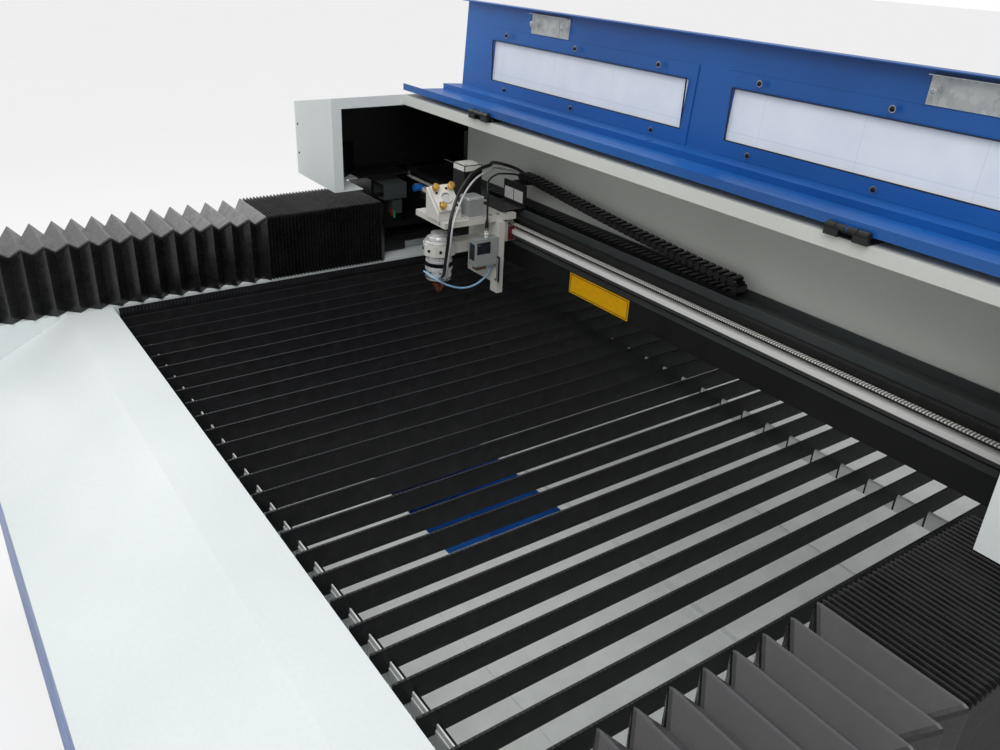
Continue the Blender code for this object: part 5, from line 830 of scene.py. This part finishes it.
lower_run = CHAIN_BEND[0] - CHAIN_FIXED_X
chain_length = lower_run + math.pi * CHAIN_BEND[1] + CHAIN_BEND[0] - CHAIN_MOVING[0]
link_count = round(chain_length / LINK)
link_length = chain_length / link_count
chain_parts = {"lower": bmesh.new(), "bend": bmesh.new(), "upper": bmesh.new()}
wall_faces = CHAIN_HALF_WIDTH, CHAIN_HALF_WIDTH - OUTER_WALL
tab_faces = CHAIN_HALF_WIDTH - OUTER_WALL - 0.0002, CHAIN_HALF_WIDTH - 2 * OUTER_WALL
bridge_faces = CHAIN_HALF_HEIGHT, CHAIN_HALF_HEIGHT - 0.0018
bend_end = lower_run + math.pi * CHAIN_BEND[1]
half = link_length / 2
for k in range(link_count):
    s = (k + 0.5) * link_length
    key = "lower" if s < lower_run - LINK / 2 else "upper" if s > bend_end + LINK / 2 else "bend"
    bm = chain_parts[key]
    (x, z), angle = chain_place(s)
    turn = Matrix.Translation((x, CHAIN_MIDDLE, z)) @ Matrix.Rotation(-angle, 4, "Y")
    for flip in (-1, 1):
        wall, tab, bridge = (sorted(flip * face for face in faces)
                             for faces in (wall_faces, tab_faces, bridge_faces))
        add_block(bm, (-half * 0.98, wall[0], -CHAIN_HALF_HEIGHT),
                  (half * 0.62, wall[1], CHAIN_HALF_HEIGHT), 0.0009, turn)
        add_block(bm, (-half * 0.1, tab[0], -TAB_HALF_HEIGHT),
                  (half * 1.3, tab[1], TAB_HALF_HEIGHT), 0.0008, turn)
        pin = turn @ Vector((half * 0.98, flip * (CHAIN_HALF_WIDTH - 0.0024), 0))
        add_lathe(bm, [(0, 0.0022), (0.0022, 0.0022), (0.0026, 0.0017), (0.0026, 0)], pin, (0, flip, 0), 10)
        add_block(bm, (-BRIDGE - half * 0.3, 0.0004 - CHAIN_HALF_WIDTH, bridge[0]),
                  (BRIDGE - half * 0.3, CHAIN_HALF_WIDTH - 0.0004, bridge[1]), 0.0005, turn)
for key, bm in chain_parts.items():
    piece = make_piece("cable_chain_" + key, bm, black_nylon, None)
    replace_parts(piece, "drag_chain")
    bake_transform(piece)
print("chain links:", link_count)

# %% [markdown]
# The lens head is where the eye rests, so it gets its real parts. A plate on the mirror wedge
# leans at 45 degrees and holds the mirror cap. Three sprung thumbscrews with knurled brass
# heads tilt it. They are turned and knurled from bar, so each head is a ribbed cylinder with
# a chamfer and a steel tip in a collar.
# %% Mirror plate and thumbscrews
WEDGE_CENTRE = Vector((-0.37535, front_y(0.859), 0.98265))
WEDGE = Matrix.Translation(WEDGE_CENTRE) @ Matrix.Rotation(math.radians(45), 4, "Y")
FACE_HALF = 0.0222
WEDGE_HALF_DEPTH = 0.0265
WEDGE_LEFT = -0.4005
WEDGE_FOOT = 0.9473
PLATE_INSET = 0.002
PLATE_HALF = FACE_HALF * math.sqrt(2) - PLATE_INSET
PLATE_HALF_DEPTH = WEDGE_HALF_DEPTH - PLATE_INSET
PLATE_TOP = 0.009
KNOB_INSET = 0.009
KNOB_REACH = PLATE_HALF - KNOB_INSET
KNOB_ASIDE = WEDGE_HALF_DEPTH - KNOB_INSET
KNOBS = ((-KNOB_REACH, -KNOB_ASIDE), (-KNOB_REACH, KNOB_ASIDE), (KNOB_REACH, -KNOB_ASIDE))
CAP_MIDDLE = 0.001
OUT = WEDGE.to_3x3() @ UP


def on_wedge(along, aside, rise=0.0):
    return WEDGE @ Vector((along, aside, PLATE_TOP + rise))


right, face_low = WEDGE_CENTRE.x + FACE_HALF, WEDGE_CENTRE.z - FACE_HALF
face_high = WEDGE_CENTRE.z + FACE_HALF
outline = [(WEDGE_LEFT, WEDGE_FOOT), (right, WEDGE_FOOT), (right, face_low),
           (right - 2 * FACE_HALF, face_high), (WEDGE_LEFT, face_high)]
bm = bmesh.new()
near_y, far_y = (WEDGE_CENTRE.y + flip * WEDGE_HALF_DEPTH for flip in (-1, 1))
near, far = ([bm.verts.new((x, y, z)) for x, z in outline] for y in (near_y, far_y))
bm.faces.new(near)
bm.faces.new(list(reversed(far)))
add_band(bm, far, near)
bmesh.ops.recalc_face_normals(bm, faces=bm.faces)
bmesh.ops.bevel(bm, geom=list(bm.edges), offset=0.0008, segments=2, affect="EDGES")
add_block(bm, (-PLATE_HALF, -PLATE_HALF_DEPTH, -0.0015), (PLATE_HALF, PLATE_HALF_DEPTH, PLATE_TOP), 0.001,
          WEDGE)
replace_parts(make_piece("mirror_wedge_milled", bm, satin_aluminium, "carriage"),
            "head_mirror")

bm = bmesh.new()
for along, aside in KNOBS:
    add_knurl(bm, on_wedge(along, aside), OUT, 0.007, 0.004, 0.0128)
    add_lathe(bm, [(0.0046, 0), (0.0046, 0.0038), (0, 0.0038)], on_wedge(along, aside), OUT, 16)
make_piece("thumbscrews_brass", bm, brass, "carriage")

bm = bmesh.new()
add_lathe(bm, [(0, 0.0008), (0.0095, 0.0008), (0.0105, 0.0022), (0.0125, 0.0022), (0.013, 0.0016),
               (0.013, -GAP)],
          on_wedge(CAP_MIDDLE, CAP_MIDDLE), OUT, 36)
add_block(bm, (-PLATE_HALF + 0.0005, -0.024, PLATE_TOP - 0.009),
          (PLATE_HALF - 0.0005, 0.024, PLATE_TOP - 0.006),
          0.0003, WEDGE)
make_piece("mirror_cap_aluminium", bm, bright_aluminium, "carriage")

# A thin black crescent on one side inside the cap's rim is a painted shadow of the rim on the cap's floor.
SHADOW_CRESCENT_STEPS = 14
SHADOW_CRESCENT_RADIUS = 0.0092


def on_cap(angle, radius):
    return on_wedge(CAP_MIDDLE + math.cos(angle) * radius, CAP_MIDDLE + math.sin(angle) * radius, 0.0011)


bm = bmesh.new()
for k in range(SHADOW_CRESCENT_STEPS):
    a, b = (math.radians(100 + 160 * j / SHADOW_CRESCENT_STEPS) for j in (k, k + 1))
    u, v = (SHADOW_CRESCENT_RADIUS - 0.0001 - 0.0016 * math.sin(math.pi * j / SHADOW_CRESCENT_STEPS) for j in (k, k + 1))
    points = on_cap(a, SHADOW_CRESCENT_RADIUS), on_cap(b, SHADOW_CRESCENT_RADIUS), on_cap(b, v), on_cap(a, u)
    bm.faces.new([bm.verts.new(point) for point in points])
PLATE_SCREWS = ((KNOB_REACH, KNOB_ASIDE), (-KNOB_REACH + 0.009, -KNOB_ASIDE + 0.001),
                (KNOB_REACH - 0.009, -KNOB_ASIDE + 0.001), (-KNOB_REACH + 0.001, 0.0085))
add_screws(bm, [on_wedge(*spot) for spot in PLATE_SCREWS], OUT, 0.0026, 0.002)
make_piece("mirror_plate_screws_and_painted_shadow", bm, black_steel, "carriage")
print("thumbscrews:", len(KNOBS))

# %% [markdown]
# Round the mirror stand the motor that lifts the head, a square bearing block and the screws
# that hold them. The motor's upper end is a pale die-cast cap over a black laminated body,
# which is how such stepping motors are built.
# %% Top plate parts
PLATE_Z = 0.947
MOTOR_LOW, MOTOR_HIGH = (-0.426, 0.911), (-0.384, 0.953)
MOTOR_CAPS = ((1.0285, 1.0425, 0.002), (0.9475, 0.9555, 0.0015))
SCREW_INSET = 0.0055
HEAD_SCREWS = (
    ([place(x, y, MOTOR_CAPS[0][1]) for x in (MOTOR_LOW[0] + SCREW_INSET, MOTOR_HIGH[0] - SCREW_INSET)
      for y in (MOTOR_LOW[1] + SCREW_INSET, MOTOR_HIGH[1] - SCREW_INSET)], UP, 0.0026, 0.0012),
    ([place(-0.344, setback, PLATE_Z) for setback in (0.985, 0.968, 0.951)], UP, 0.0036, 0.003),
    ([place(-0.357, 0.839, 0.941)], TO_FRONT, 0.0024, 0.0014),
    ([place(x, y, 0.9893) for x in (-0.3475, -0.3665) for y in (0.8975, 0.9265)], UP, 0.0022, 0.0014),
    ([place(-0.333, 0.962, z) for z in (0.8885, 0.8705, 0.84, 0.812)], TO_FRONT, 0.0028, 0.002),
)
BLOCK_RIMS = ((0.9473, 0.9515, 0.003), (0.985, 0.9896, 0.0026))
PAD_SPANS = [((low_x, 1.0392, 0.957), (low_x + 0.0305, 1.0404, 0.981)) for low_x in (-0.423, -0.3895)]

bm = bmesh.new()
for low_z, high_z, ease in MOTOR_CAPS:
    add_block(bm, place(MOTOR_LOW[0] - GAP, MOTOR_LOW[1] - GAP, low_z),
              place(MOTOR_HIGH[0] + GAP, MOTOR_HIGH[1] + GAP, high_z), ease)
make_piece("z_motor_caps_cast", bm, satin_aluminium, "carriage")

bm = bmesh.new()
for seats, way, radius, height in HEAD_SCREWS:
    add_screws(bm, seats, way, radius, height)
make_piece("head_screws_steel", bm, screw_steel, "carriage")

bm = bmesh.new()
for low_z, high_z, wall in BLOCK_RIMS:
    for a, b in strips((-0.3752, 0.8943), (-0.3388, 0.9297), wall, wall):
        add_block(bm, place(*a, low_z), place(*b, high_z), 0.0004)
add_block(bm, place(-0.379, 0.888, 0.9473), place(-0.364, 0.8945, 0.962), 0.001)
make_piece("bearing_block_frames", bm, bright_aluminium, "carriage")

block_piece("bracket_pads_white", PAD_SPANS, 0.0004, white_plastic, "carriage")
print("top plate parts done")

# %% [markdown]
# Below the plate hang the clamp, the lens tube with its two rings, and the nozzle. The clamp is
# split and pinched by screws. The knurled ring turns to set the focus. The height sensor to the
# right is a grey box with a blank dark display, and a coaxial plug stands on it.
# %% Lens tube, nozzle and sensor
AXIS = place(-0.392, 0.859, 0)
FOCUS_RINGS = ((0.029, 0.8435, 0.852, 60), (0.0266, 0.8165, 0.8215, 60))
BRIGHT_RINGS = (
    ([(0.0262, 0.8525), (0.0275, 0.8532), (0.0275, 0.856), (0.0262, 0.8567)], 48),
    ([(0.0265, 0.8911), (0.03, 0.8913), (0.0305, 0.8925), (0.0305, 0.8952), (0.0298, 0.896),
      (0.0262, 0.896)], 48),
    ([(0.0172, 0.902), (0.0205, 0.9022), (0.0208, 0.9036), (0.0202, 0.9046), (0.0172, 0.9048)], 40),
    ([(0.0262, 0.823), (0.0268, 0.8234), (0.0268, 0.825), (0.0262, 0.8254)], 48),
)
TIP_PROFILE = [(0.0046, 0.786), (0.0062, 0.788), (0.0062, 0.7905), (0.009, 0.7925), (0.0118, 0.7985),
               (0.0118, 0.8)]
DOT_PROFILE = [(0, 0.0006), (0.0016, 0.0006), (0.0018, 0)]
BOOT_PROFILE = [(0.0036, -0.006), (0.004, -0.0052), (0.004, 0.008), (0.003, 0.015), (0.0022, 0.0154)]
PLUG_RINGS = ((0.0046, -0.0222, -0.0172, 22), (0.0052, -0.0165, -0.011, 24), (0.0044, -0.0104, -0.0064, 20))
SENSOR_LOW, SENSOR_HIGH = place(-0.3515, 0.9055, 0.849), place(-0.3265, 0.9617, 0.9055)


def on_axis(z):
    return Vector((AXIS.x, AXIS.y, z))


bm = bmesh.new()
for radius, low, high, teeth in FOCUS_RINGS:
    add_knurl(bm, AXIS, UP, radius, low, high, teeth)
make_piece("focus_rings_knurled", bm, black_steel, "head")

bm = bmesh.new()
for profile, sides in BRIGHT_RINGS:
    add_lathe(bm, profile, AXIS, UP, sides)
make_piece("lens_tube_rings_bright", bm, bright_aluminium, "head")

bm = bmesh.new()
for angle in (200, 245, 290, 335):
    way = Vector((math.cos(math.radians(angle)), math.sin(math.radians(angle)), 0))
    for z, reach, radius, height in ((0.8795, 0.0316, 0.003, 0.0022), (0.832, 0.0262, 0.0018, 0.001)):
        add_screws(bm, [on_axis(z) + way * reach], way, radius, height)
add_block(bm, on_axis(0.8682) + Vector((0.0305, -0.0012, 0)), on_axis(0.8908) + Vector((0.0345, 0.0002, 0)),
          0.0003)
make_piece("clamp_screws_black", bm, black_steel, "head")

bm = bmesh.new()
add_lathe(bm, TIP_PROFILE, AXIS, UP, 32)
add_knurl(bm, AXIS, UP, 0.0206, 0.808, 0.8142, 44)
make_piece("nozzle_rings_copper", bm, copper, "head")

hose_end, hose_before = (Vector(HOSE_ROUTE[k]) for k in (-1, -2))
air_end, air_before = (Vector(AIR_ROUTE[k]) for k in (-1, -2))
FITTINGS = (
    (on_axis(0.81) + Vector((-0.016, -0.006, 0)), (-1, -0.25, 0), 0.018, 0.0034, 16),
    (CORD_CORNER + hose_end, hose_before - hose_end, 0.012, 0.0046, 6),
    (CORD_CORNER + air_end, air_before - air_end, 0.01, 0.0034, 16),
)
bm = bmesh.new()
for start, way, length, wide, sides in FITTINGS:
    profile = [(wide * 0.8, -0.001), (wide, 0.0004), (wide, length * 0.55), (wide * 0.88, length * 0.6),
               (wide * 0.88, length), (wide * 0.5, length)]
    add_lathe(bm, profile, start, way, sides)
make_piece("push_in_fittings", bm, ground_steel, "head")

bm = bmesh.new()
face_x, face_y = SENSOR_HIGH.x, SENSOR_LOW.y
add_block(bm, (face_x, face_y + 0.0035, 0.875), (face_x + 0.0008, face_y + 0.0355, 0.899), 0.0002)
add_block(bm, (SENSOR_LOW.x + 0.0035, face_y - 0.0008, 0.862), (face_x - 0.0035, face_y, 0.896), 0.0002)
make_piece("sensor_display_dark", bm, dark_plastic, "carriage")

bm = bmesh.new()
add_lathe(bm, DOT_PROFILE, (face_x + 0.0006, face_y + 0.0085, 0.8945), TO_RIGHT, 14)
add_lathe(bm, DOT_PROFILE, (SENSOR_LOW.x + 0.0065, face_y - 0.0006, 0.8925), TO_FRONT, 14)
make_piece("sensor_dots_blue", bm, blue_plastic, "carriage")

bm = bmesh.new()
plug = CORD_CORNER + Vector(SIGNAL_ROUTE[-1])
for radius, low, high, teeth in PLUG_RINGS:
    add_knurl(bm, plug, UP, radius, low, high, teeth)
add_lathe(bm, [(0.0036, -0.0222), (0.0036, -0.002), (0.0028, 0.0004), (0.0021, 0.0004)], plug, UP, 20)
make_piece("coaxial_plug_nickel", bm, bright_aluminium, "carriage")

bm = bmesh.new()
add_lathe(bm, BOOT_PROFILE, plug, UP, 20)
make_piece("plug_boot_black", bm, black_nylon, "carriage")

bm = bmesh.new()
add_block(bm, (SENSOR_LOW.x + 0.004, face_y + 0.006, 0.84), (face_x - 0.004, face_y + 0.03, 0.8489), 0.001)
make_piece("sensor_connector_brown", bm, brown_plastic, "carriage")

STRIP = [((-0.3245, 0.956, 0.812), (-0.3172, 0.96, 0.866))]
block_piece("terminal_strip_black", STRIP, 0.0004, black_nylon, "carriage")

bm = bmesh.new()
for k in range(12):
    for x in (-0.3226, -0.3191):
        add_lathe(bm, [(0, 0.0005), (0.0008, 0.0005), (0.001, 0)], place(x, 0.956, 0.815 + 0.0042 * k),
                  TO_FRONT, 8)
make_piece("terminal_strip_dots", bm, white_plastic, "carriage")
print("lens head parts done")

# %% [markdown]
# The lid's window frames are folded strips that clamp the panes with six screws each. The
# handles are plain zinc-coated plates with notched ends, screwed on. The hinges are black and
# sit on the housing's rim. Small parts like these set the scale of the big blue panel.
# %% Lid fittings
FRAME_FACE = 1.0818
PANEL_FACE = 1.0836
FRAME_STARTS = (-0.5735, 0.0925)
FRAME_SIZE = (0.604, 0.128)
FRAME_LOW_Z = 1.151
SCREW_ROWS = (FRAME_LOW_Z + 0.01, FRAME_LOW_Z + FRAME_SIZE[1] - 0.01)
HANDLE_MIDDLES = (-0.3715, 0.4855)
HINGE_STARTS = (-0.393, 0.431)
KNUCKLE_PITCH = 0.0156
CAP_PROFILE = [(0, 0.002), (0.0012, 0.0022), (0.0012, 0.003), (0.0026, 0.0026), (0.0038, 0.0016),
               (0.004, 0.0006)]

bm, washers = bmesh.new(), bmesh.new()
for start_x in FRAME_STARTS:
    for z in SCREW_ROWS:
        for along in (0.072, 0.296, 0.52):
            seat = place(start_x + along, FRAME_FACE, z)
            add_lathe(washers, [(0.003, 0), (0.0052, 0), (0.0052, 0.0006), (0.003, 0.0008)], seat, TO_FRONT,
                      20)
            add_lathe(bm, CAP_PROFILE, seat, TO_FRONT, 16)
make_piece("window_screws_black", bm, black_steel, "lid")
make_piece("window_washers", washers, screw_steel, "lid")

gaskets = []
for start_x in FRAME_STARTS:
    low = (start_x + 0.018, FRAME_LOW_Z + 0.023)
    high = (start_x + FRAME_SIZE[0] - 0.018, FRAME_LOW_Z + 0.105)
    gaskets += [((a[0], PANEL_FACE, a[1]), (b[0], PANEL_FACE + 0.0026, b[1]))
                for a, b in strips(low, high, 0.0016)]
block_piece("window_gaskets_black", gaskets, 0.0003, black_nylon, "lid")

bm, screws = bmesh.new(), bmesh.new()
for middle in HANDLE_MIDDLES:
    for flip in (-1, 1):
        seat = place(middle + flip * 0.0485, PANEL_FACE, 1.299)
        add_screws(screws, [seat], TO_FRONT, 0.0034, 0.0018)
        add_lathe(bm, [(0.003, 0), (0.0056, 0), (0.0056, 0.0006), (0.003, 0.0008)], seat, TO_FRONT, 20)
        low, high = sorted((middle + flip * 0.04, middle + flip * 0.0412))
        add_block(bm, place(low, 1.0826, 1.2815), place(high, 1.0838, 1.3175), 0.0003)
make_piece("handle_ridges_zinc", bm, zinc_sheet, "lid")
make_piece("handle_screws", screws, screw_steel, "lid")

bm, pins = bmesh.new(), bmesh.new()
for low_x in HINGE_STARTS:
    for k in range(4):
        start = place(low_x + 0.0008 + k * KNUCKLE_PITCH, 0.927, 1.146)
        add_lathe(bm, [(0.0046, 0), (0.0052, 0.0004), (0.0052, 0.0138), (0.0046, 0.0142)], start, TO_RIGHT,
                  18)
    add_screws(pins, [place(low_x + along, 0.944, 1.1358) for along in (0.011, 0.052)], UP, 0.0028, 0.0014)
make_piece("hinge_knuckles_black", bm, black_nylon, "gantry")
make_piece("hinge_screws", pins, screw_steel, "gantry")
print("lid fittings done")

# %% [markdown]
# The end boxes are painted white outside. Inside and behind the beam they lie in deep shade,
# so thin black sheets are set on the inner faces and on the cut edges of the floor as painted
# shade, and black sheets hang down to the bed at the rear edge and at both sides as painted
# shade, so no light shows through behind the beam. Screws hold the white return plate under
# the mouth of the left box, and under it runs the open end of a rectangular tube.
# %% End boxes
OUTER, WALL_X, REAR_IN, REAR_OUT = 0.8702, 0.869, 1.296, 1.2972
SKIRT_FRONT, SKIRT_REAR, SKIRT_LOW = 1.286, 1.2872, 0.896
FLOOR_LOW, FLOOR_HIGH, BOX_LOW, BOX_HIGH = 0.9371, 0.9378, 0.957, 1.092
SHADE_SHEETS = (
    ((-OUTER, 0.785, BOX_LOW), (-WALL_X, 1.297, BOX_HIGH)),
    ((-WALL_X, 0.785, 1.0905), (-0.77, 1.297, 1.0917)),
    ((-WALL_X, REAR_IN, BOX_LOW), (-0.675, REAR_OUT, 1.108)),
    ((-0.87, 0.862, FLOOR_LOW), (-0.7655, 0.9985, FLOOR_HIGH)),
    ((-WALL_X, 1.15, FLOOR_LOW), (-0.675, REAR_IN, FLOOR_HIGH)),
    ((-WALL_X, REAR_IN, FLOOR_LOW), (-0.675, REAR_OUT, BOX_LOW)),
    ((-OUTER, 0.862, FLOOR_LOW), (-WALL_X, 1.297, BOX_LOW)),
    ((-0.765, 0.862, 0.9346), (-0.764, 0.9985, FLOOR_HIGH)),
    ((-WALL_X, 0.998, FLOOR_LOW), (-0.85, 1.15, FLOOR_HIGH)),
    ((-0.85, 0.998, 0.9346), (-0.849, 1.15, FLOOR_HIGH)),
    ((-OUTER, 0.902, 0.753), (-WALL_X, 1.243, FLOOR_LOW)),
    ((WALL_X, 0.902, 0.753), (OUTER, 1.243, 0.9345)),
    ((-0.7005, SKIRT_FRONT, 0.762), (0.7005, SKIRT_REAR, 0.93)),
    ((-WALL_X, SKIRT_FRONT, SKIRT_LOW), (-0.701, SKIRT_REAR, 0.9345)),
    ((0.701, SKIRT_FRONT, SKIRT_LOW), (WALL_X, SKIRT_REAR, 0.9345)),
    ((WALL_X, 0.785, BOX_LOW), (OUTER, 1.297, BOX_HIGH)),
    ((0.8, REAR_IN, BOX_LOW), (WALL_X, REAR_OUT, BOX_HIGH)),
)
TUBE_LOW, TUBE_HIGH, TUBE_WALL = (-0.762, 0.893), (-0.708, 0.93), 0.0018
TUBE_SPANS = [((a[0], 0.9, a[1]), (b[0], 0.96, b[1]))
              for a, b in strips(TUBE_LOW, TUBE_HIGH, TUBE_WALL, TUBE_WALL)]
RETURN_PLATE_SCREWS = ((-0.835, 0.8), (-0.795, 0.8), (-0.755, 0.8), (-0.835, 0.85), (-0.755, 0.85))

# Black sheets as painted shade inside the end boxes and behind the beam.
block_piece("box_painted_shade_sheets_black", SHADE_SHEETS, 0.0002, black_nylon, "gantry")
bm = bmesh.new()
add_screws(bm, [place(x, setback, 0.9572) for x, setback in RETURN_PLATE_SCREWS], UP, 0.003, 0.0016)
add_screws(bm, [place(-0.859, 0.762, z) for z in (0.985, 1.05)], TO_FRONT, 0.0024, 0.0012)
make_piece("box_screws_black", bm, black_steel, "gantry")
block_piece("box_tube_end_dark", TUBE_SPANS, 0.0003, slate_coat, "gantry")
print("end boxes:", len(SHADE_SHEETS), "black sheets of painted shade")

# %% [markdown]
# Small fittings stand in the shade of the left box and along the beam: a blue push-in part, a
# limit switch with its red and green terminals, a folded ledge, and the blank yellow label
# with a thin black border that marks the beam. The label is film, almost without thickness.
# %% Beam fittings and label
LABEL_LOW, LABEL_HIGH = (-0.17, 0.829), (0.001, 0.87)
BORDER_INSET = 0.0025
border = strips([v + BORDER_INSET for v in LABEL_LOW], [v - BORDER_INSET for v in LABEL_HIGH], 1.2 * MM)
BEAM_BLOCKS = (
    ("limit_switch_slate", [((-0.74, 0.925, 0.856), (-0.712, 0.95, 0.89))], 0.001, slate_coat,
     "gantry_black"),
    ("switch_terminal_red", [((-0.724, 0.923, 0.85), (-0.714, 0.926, 0.87))], 0.0008, red_plastic,
     "grey_parts"),
    ("switch_terminal_green", [((-0.712, 0.925, 0.848), (-0.706, 0.929, 0.866))], 0.0008, green_plastic,
     "grey_parts"),
    ("beam_ledge_folded", [((-0.755, 1.0226, 0.8735), (0.7, 1.026, 0.8845))], 0.0003, slate_coat,
     "gantry_black"),
    ("beam_label_yellow", [((LABEL_LOW[0], 1.0254, LABEL_LOW[1]), (LABEL_HIGH[0], 1.026, LABEL_HIGH[1]))],
     0.0001,
     yellow_ink, "nozzle_brass"),
    ("beam_label_border", [((a[0], 1.0252, a[1]), (b[0], 1.0256, b[1])) for a, b in border], 0.0, black_ink,
     "nylon_black"),
)
bm = bmesh.new()
add_lathe(bm, [(0, 0), (0.008, 0), (0.0085, 0.0006), (0.0085, 0.0215), (0.0074, 0.023), (0, 0.023)],
          place(-0.7305, 0.9925, 0.9065), -TO_FRONT, 32)
make_piece("fitting_blue_push_in", bm, blue_plastic, "gantry")
for name, spans, ease, material, slot_name in BEAM_BLOCKS:
    block_piece(name, spans, ease, material, "gantry")
print("beam fittings:", 1 + len(BEAM_BLOCKS))

# %% [markdown]
# The runner block on the rail has red end seals. A row of black cap screws, one every 60 mm,
# runs along the beam's top edge.
# %% Rail screws and seals
BEAM_SCREW_PITCH = 0.06
SEALS = [((low_x, 1.003, 0.886), (low_x + 0.003, 1.017, 0.915)) for low_x in (-0.433, -0.3535)]
bm = bmesh.new()
seats = [place(-0.745 + BEAM_SCREW_PITCH * k, 1.032, 0.93) for k in range(24)]
add_screws(bm, seats, UP, 0.0034, 0.0022)
make_piece("beam_top_screws", bm, black_steel, "gantry")
block_piece("bearing_seals_red", SEALS, 0.0006, red_plastic, "carriage")
print("beam screws:", len(seats))

# %% [markdown]
# The blades stand in slots of light-grey comb sheets, whose fins rise between them a little
# over half way up. Seen from the front, each fin is a pale tick between black blades. A black
# blade lies along each side of the table too. The scrap tray is folded from several sheets, so
# low welded seams cross its floor and walls.
# %% Comb fins, tray seams and edge blades
BLADE_COUNT = 27
TABLE_HALF = 0.705
EDGE_MARGIN = 0.0381
BLADE_PITCH = 2 * (TABLE_HALF - EDGE_MARGIN) / (BLADE_COUNT - 1)
SLOT_CLEAR = 0.0017
COMB_ROWS = (0.314, 1.14, 1.96, 2.78)
COMB_FOOT = 0.6803
FIN_TOP = 0.716
REAR_FIN_TOP = 0.7095
SEAM_ROWS = (0.56, 1.25, 1.86, 2.47)
TRAY_FLOOR = 0.45

fins = []
for row in COMB_ROWS:
    for k in range(BLADE_COUNT - 1):
        low = EDGE_MARGIN - TABLE_HALF + k * BLADE_PITCH + SLOT_CLEAR
        high = low + BLADE_PITCH - 2 * SLOT_CLEAR
        fin_top = FIN_TOP if row == COMB_ROWS[0] else REAR_FIN_TOP
        fins.append(((low, row - 0.0024, COMB_FOOT - 0.0002), (high, row + 0.0024, 0.7078)))
        fins.append(((low, row - 0.0009, 0.707), (high, row + 0.0009, fin_top)))
block_piece("comb_fins_grey", fins, 0.0, grey_coat_painted_light, "bed")

bm = bmesh.new()
for setback in SEAM_ROWS:
    add_block(bm, place(-0.6875, setback - 0.007, TRAY_FLOOR),
              place(0.6875, setback + 0.007, TRAY_FLOOR + 0.002), 0.0009)
    for flip in (-1, 1):
        low, high = sorted((flip * 0.688, flip * 0.6873))
        add_block(bm, place(low, setback - 0.004, TRAY_FLOOR), place(high, setback + 0.004, 0.679), 0.0003)
make_piece("tray_seams", bm, grey_coat_painted_light, "bed")

EDGE_BLADES = [((low, 0.29, COMB_FOOT), (high, 2.811, 0.7495))
               for low, high in ((-0.6915, -0.69), (0.69, 0.6915))]
block_piece("edge_blades_black", EDGE_BLADES, 0.0003, blade_black, "bed")
print("comb fins:", len(fins) // 2)

# %% [markdown]
# The white side covers are screwed down with small screws in two rows, the outermost 15 cm
# from the ends, and the blue side panels below them have one row of the same screws.
# %% Cover screws
COVER_X = 0.8725
SCREW_SETBACKS = (0.15, 0.9, 1.65, 2.4, 3.25)
SCREW_HEIGHTS = (0.618, 0.584, 0.1)
bm = bmesh.new()
for flip in (-1, 1):
    seats = [place(flip * COVER_X, setback, z) for setback in SCREW_SETBACKS for z in SCREW_HEIGHTS]
    add_screws(bm, seats, (flip, 0, 0), 0.004, 0.0012)
make_piece("cover_screws", bm, screw_steel, "bed")
print("cover screws:", 2 * len(seats))

# %% [markdown]
# The machine stands on a plain pale floor under soft studio light. The key lamp hangs high
# behind the camera, a weaker one lights the left side, one stands behind the machine, and one
# hangs over the bed, whose light falls between the blades on the tray. An even pale
# surrounding fills the shadows. The floor shows white to the camera, so the object stands out
# against it.
# %% Floor and light
FLOOR_SIZE = 30
FLOOR_GLOW = 0.72
LAMPS = {
    "key_lamp": ((2.6, -3.4, 4.2), (-0.2, -0.7, 0.8), (2.6, 2.6), 88),
    "side_lamp": ((-3.6, -2.0, 2.8), (-0.3, -0.6, 0.8), (2.4, 2.4), 26),
    "back_lamp": ((0.5, 3.8, 4.0), (0.0, 0.4, 0.8), (3.0, 2.0), 40),
    "over_lamp": ((0.0, -0.9, 4.8), (0.0, -0.9, 0.6), (2.4, 2.4), 46),
}
WORLD_STRENGTH = 0.58
WORLD_SEEN = 1.0


def backdrop_material():
    material, tree, shader = start_material("floor_paper_matt", 0.9)
    feed(tree, shader, {"Base Color": ramp(tree, grain(tree, 0.5), [(0.3, "#E9E9E8"), (0.7, "#EFEFEE")])})
    glow = add_node(tree, "Emission", {"Color": linear("#FFFFFF")})
    seen = add_node(tree, "LightPath").outputs["Is Camera Ray"]
    part = add_node(tree, "Math", {0: seen, 1: FLOOR_GLOW}, operation="MULTIPLY")
    mixed = add_node(tree, "MixShader", {0: part, 1: shader, 2: glow})
    feed(tree, tree.nodes["Material Output"], {"Surface": mixed})
    return material


bm = bmesh.new()
bmesh.ops.create_grid(bm, x_segments=1, y_segments=1, size=FLOOR_SIZE)
mesh = bpy.data.meshes.new("floor")
bm.to_mesh(mesh)
bm.free()
mesh.materials.append(backdrop_material())
floor = bpy.data.objects.new("floor", mesh)
bpy.context.scene.collection.objects.link(floor)

for name, (spot, target, size, watts) in LAMPS.items():
    lamp = bpy.data.objects.new(name, bpy.data.lights.new(name, "AREA"))
    lamp.data.shape = "RECTANGLE"
    lamp.data.size, lamp.data.size_y = size
    lamp.data.energy = watts
    lamp.location = spot
    lamp.rotation_euler = (Vector(target) - Vector(spot)).to_track_quat("-Z", "Y").to_euler()
    bpy.context.scene.collection.objects.link(lamp)

world = bpy.data.worlds.new("studio")
world.use_nodes = True
sky = world.node_tree
seen = add_node(sky, "LightPath").outputs["Is Camera Ray"]
strength = add_node(sky, "MapRange", {"Value": seen, "To Min": WORLD_STRENGTH, "To Max": WORLD_SEEN})
feed(sky, sky.nodes["Background"], {"Strength": strength, "Color": linear("#FFFFFF")})
bpy.context.scene.world = world
bpy.context.scene.view_settings.view_transform = "Standard"
print("lamps:", len(LAMPS))
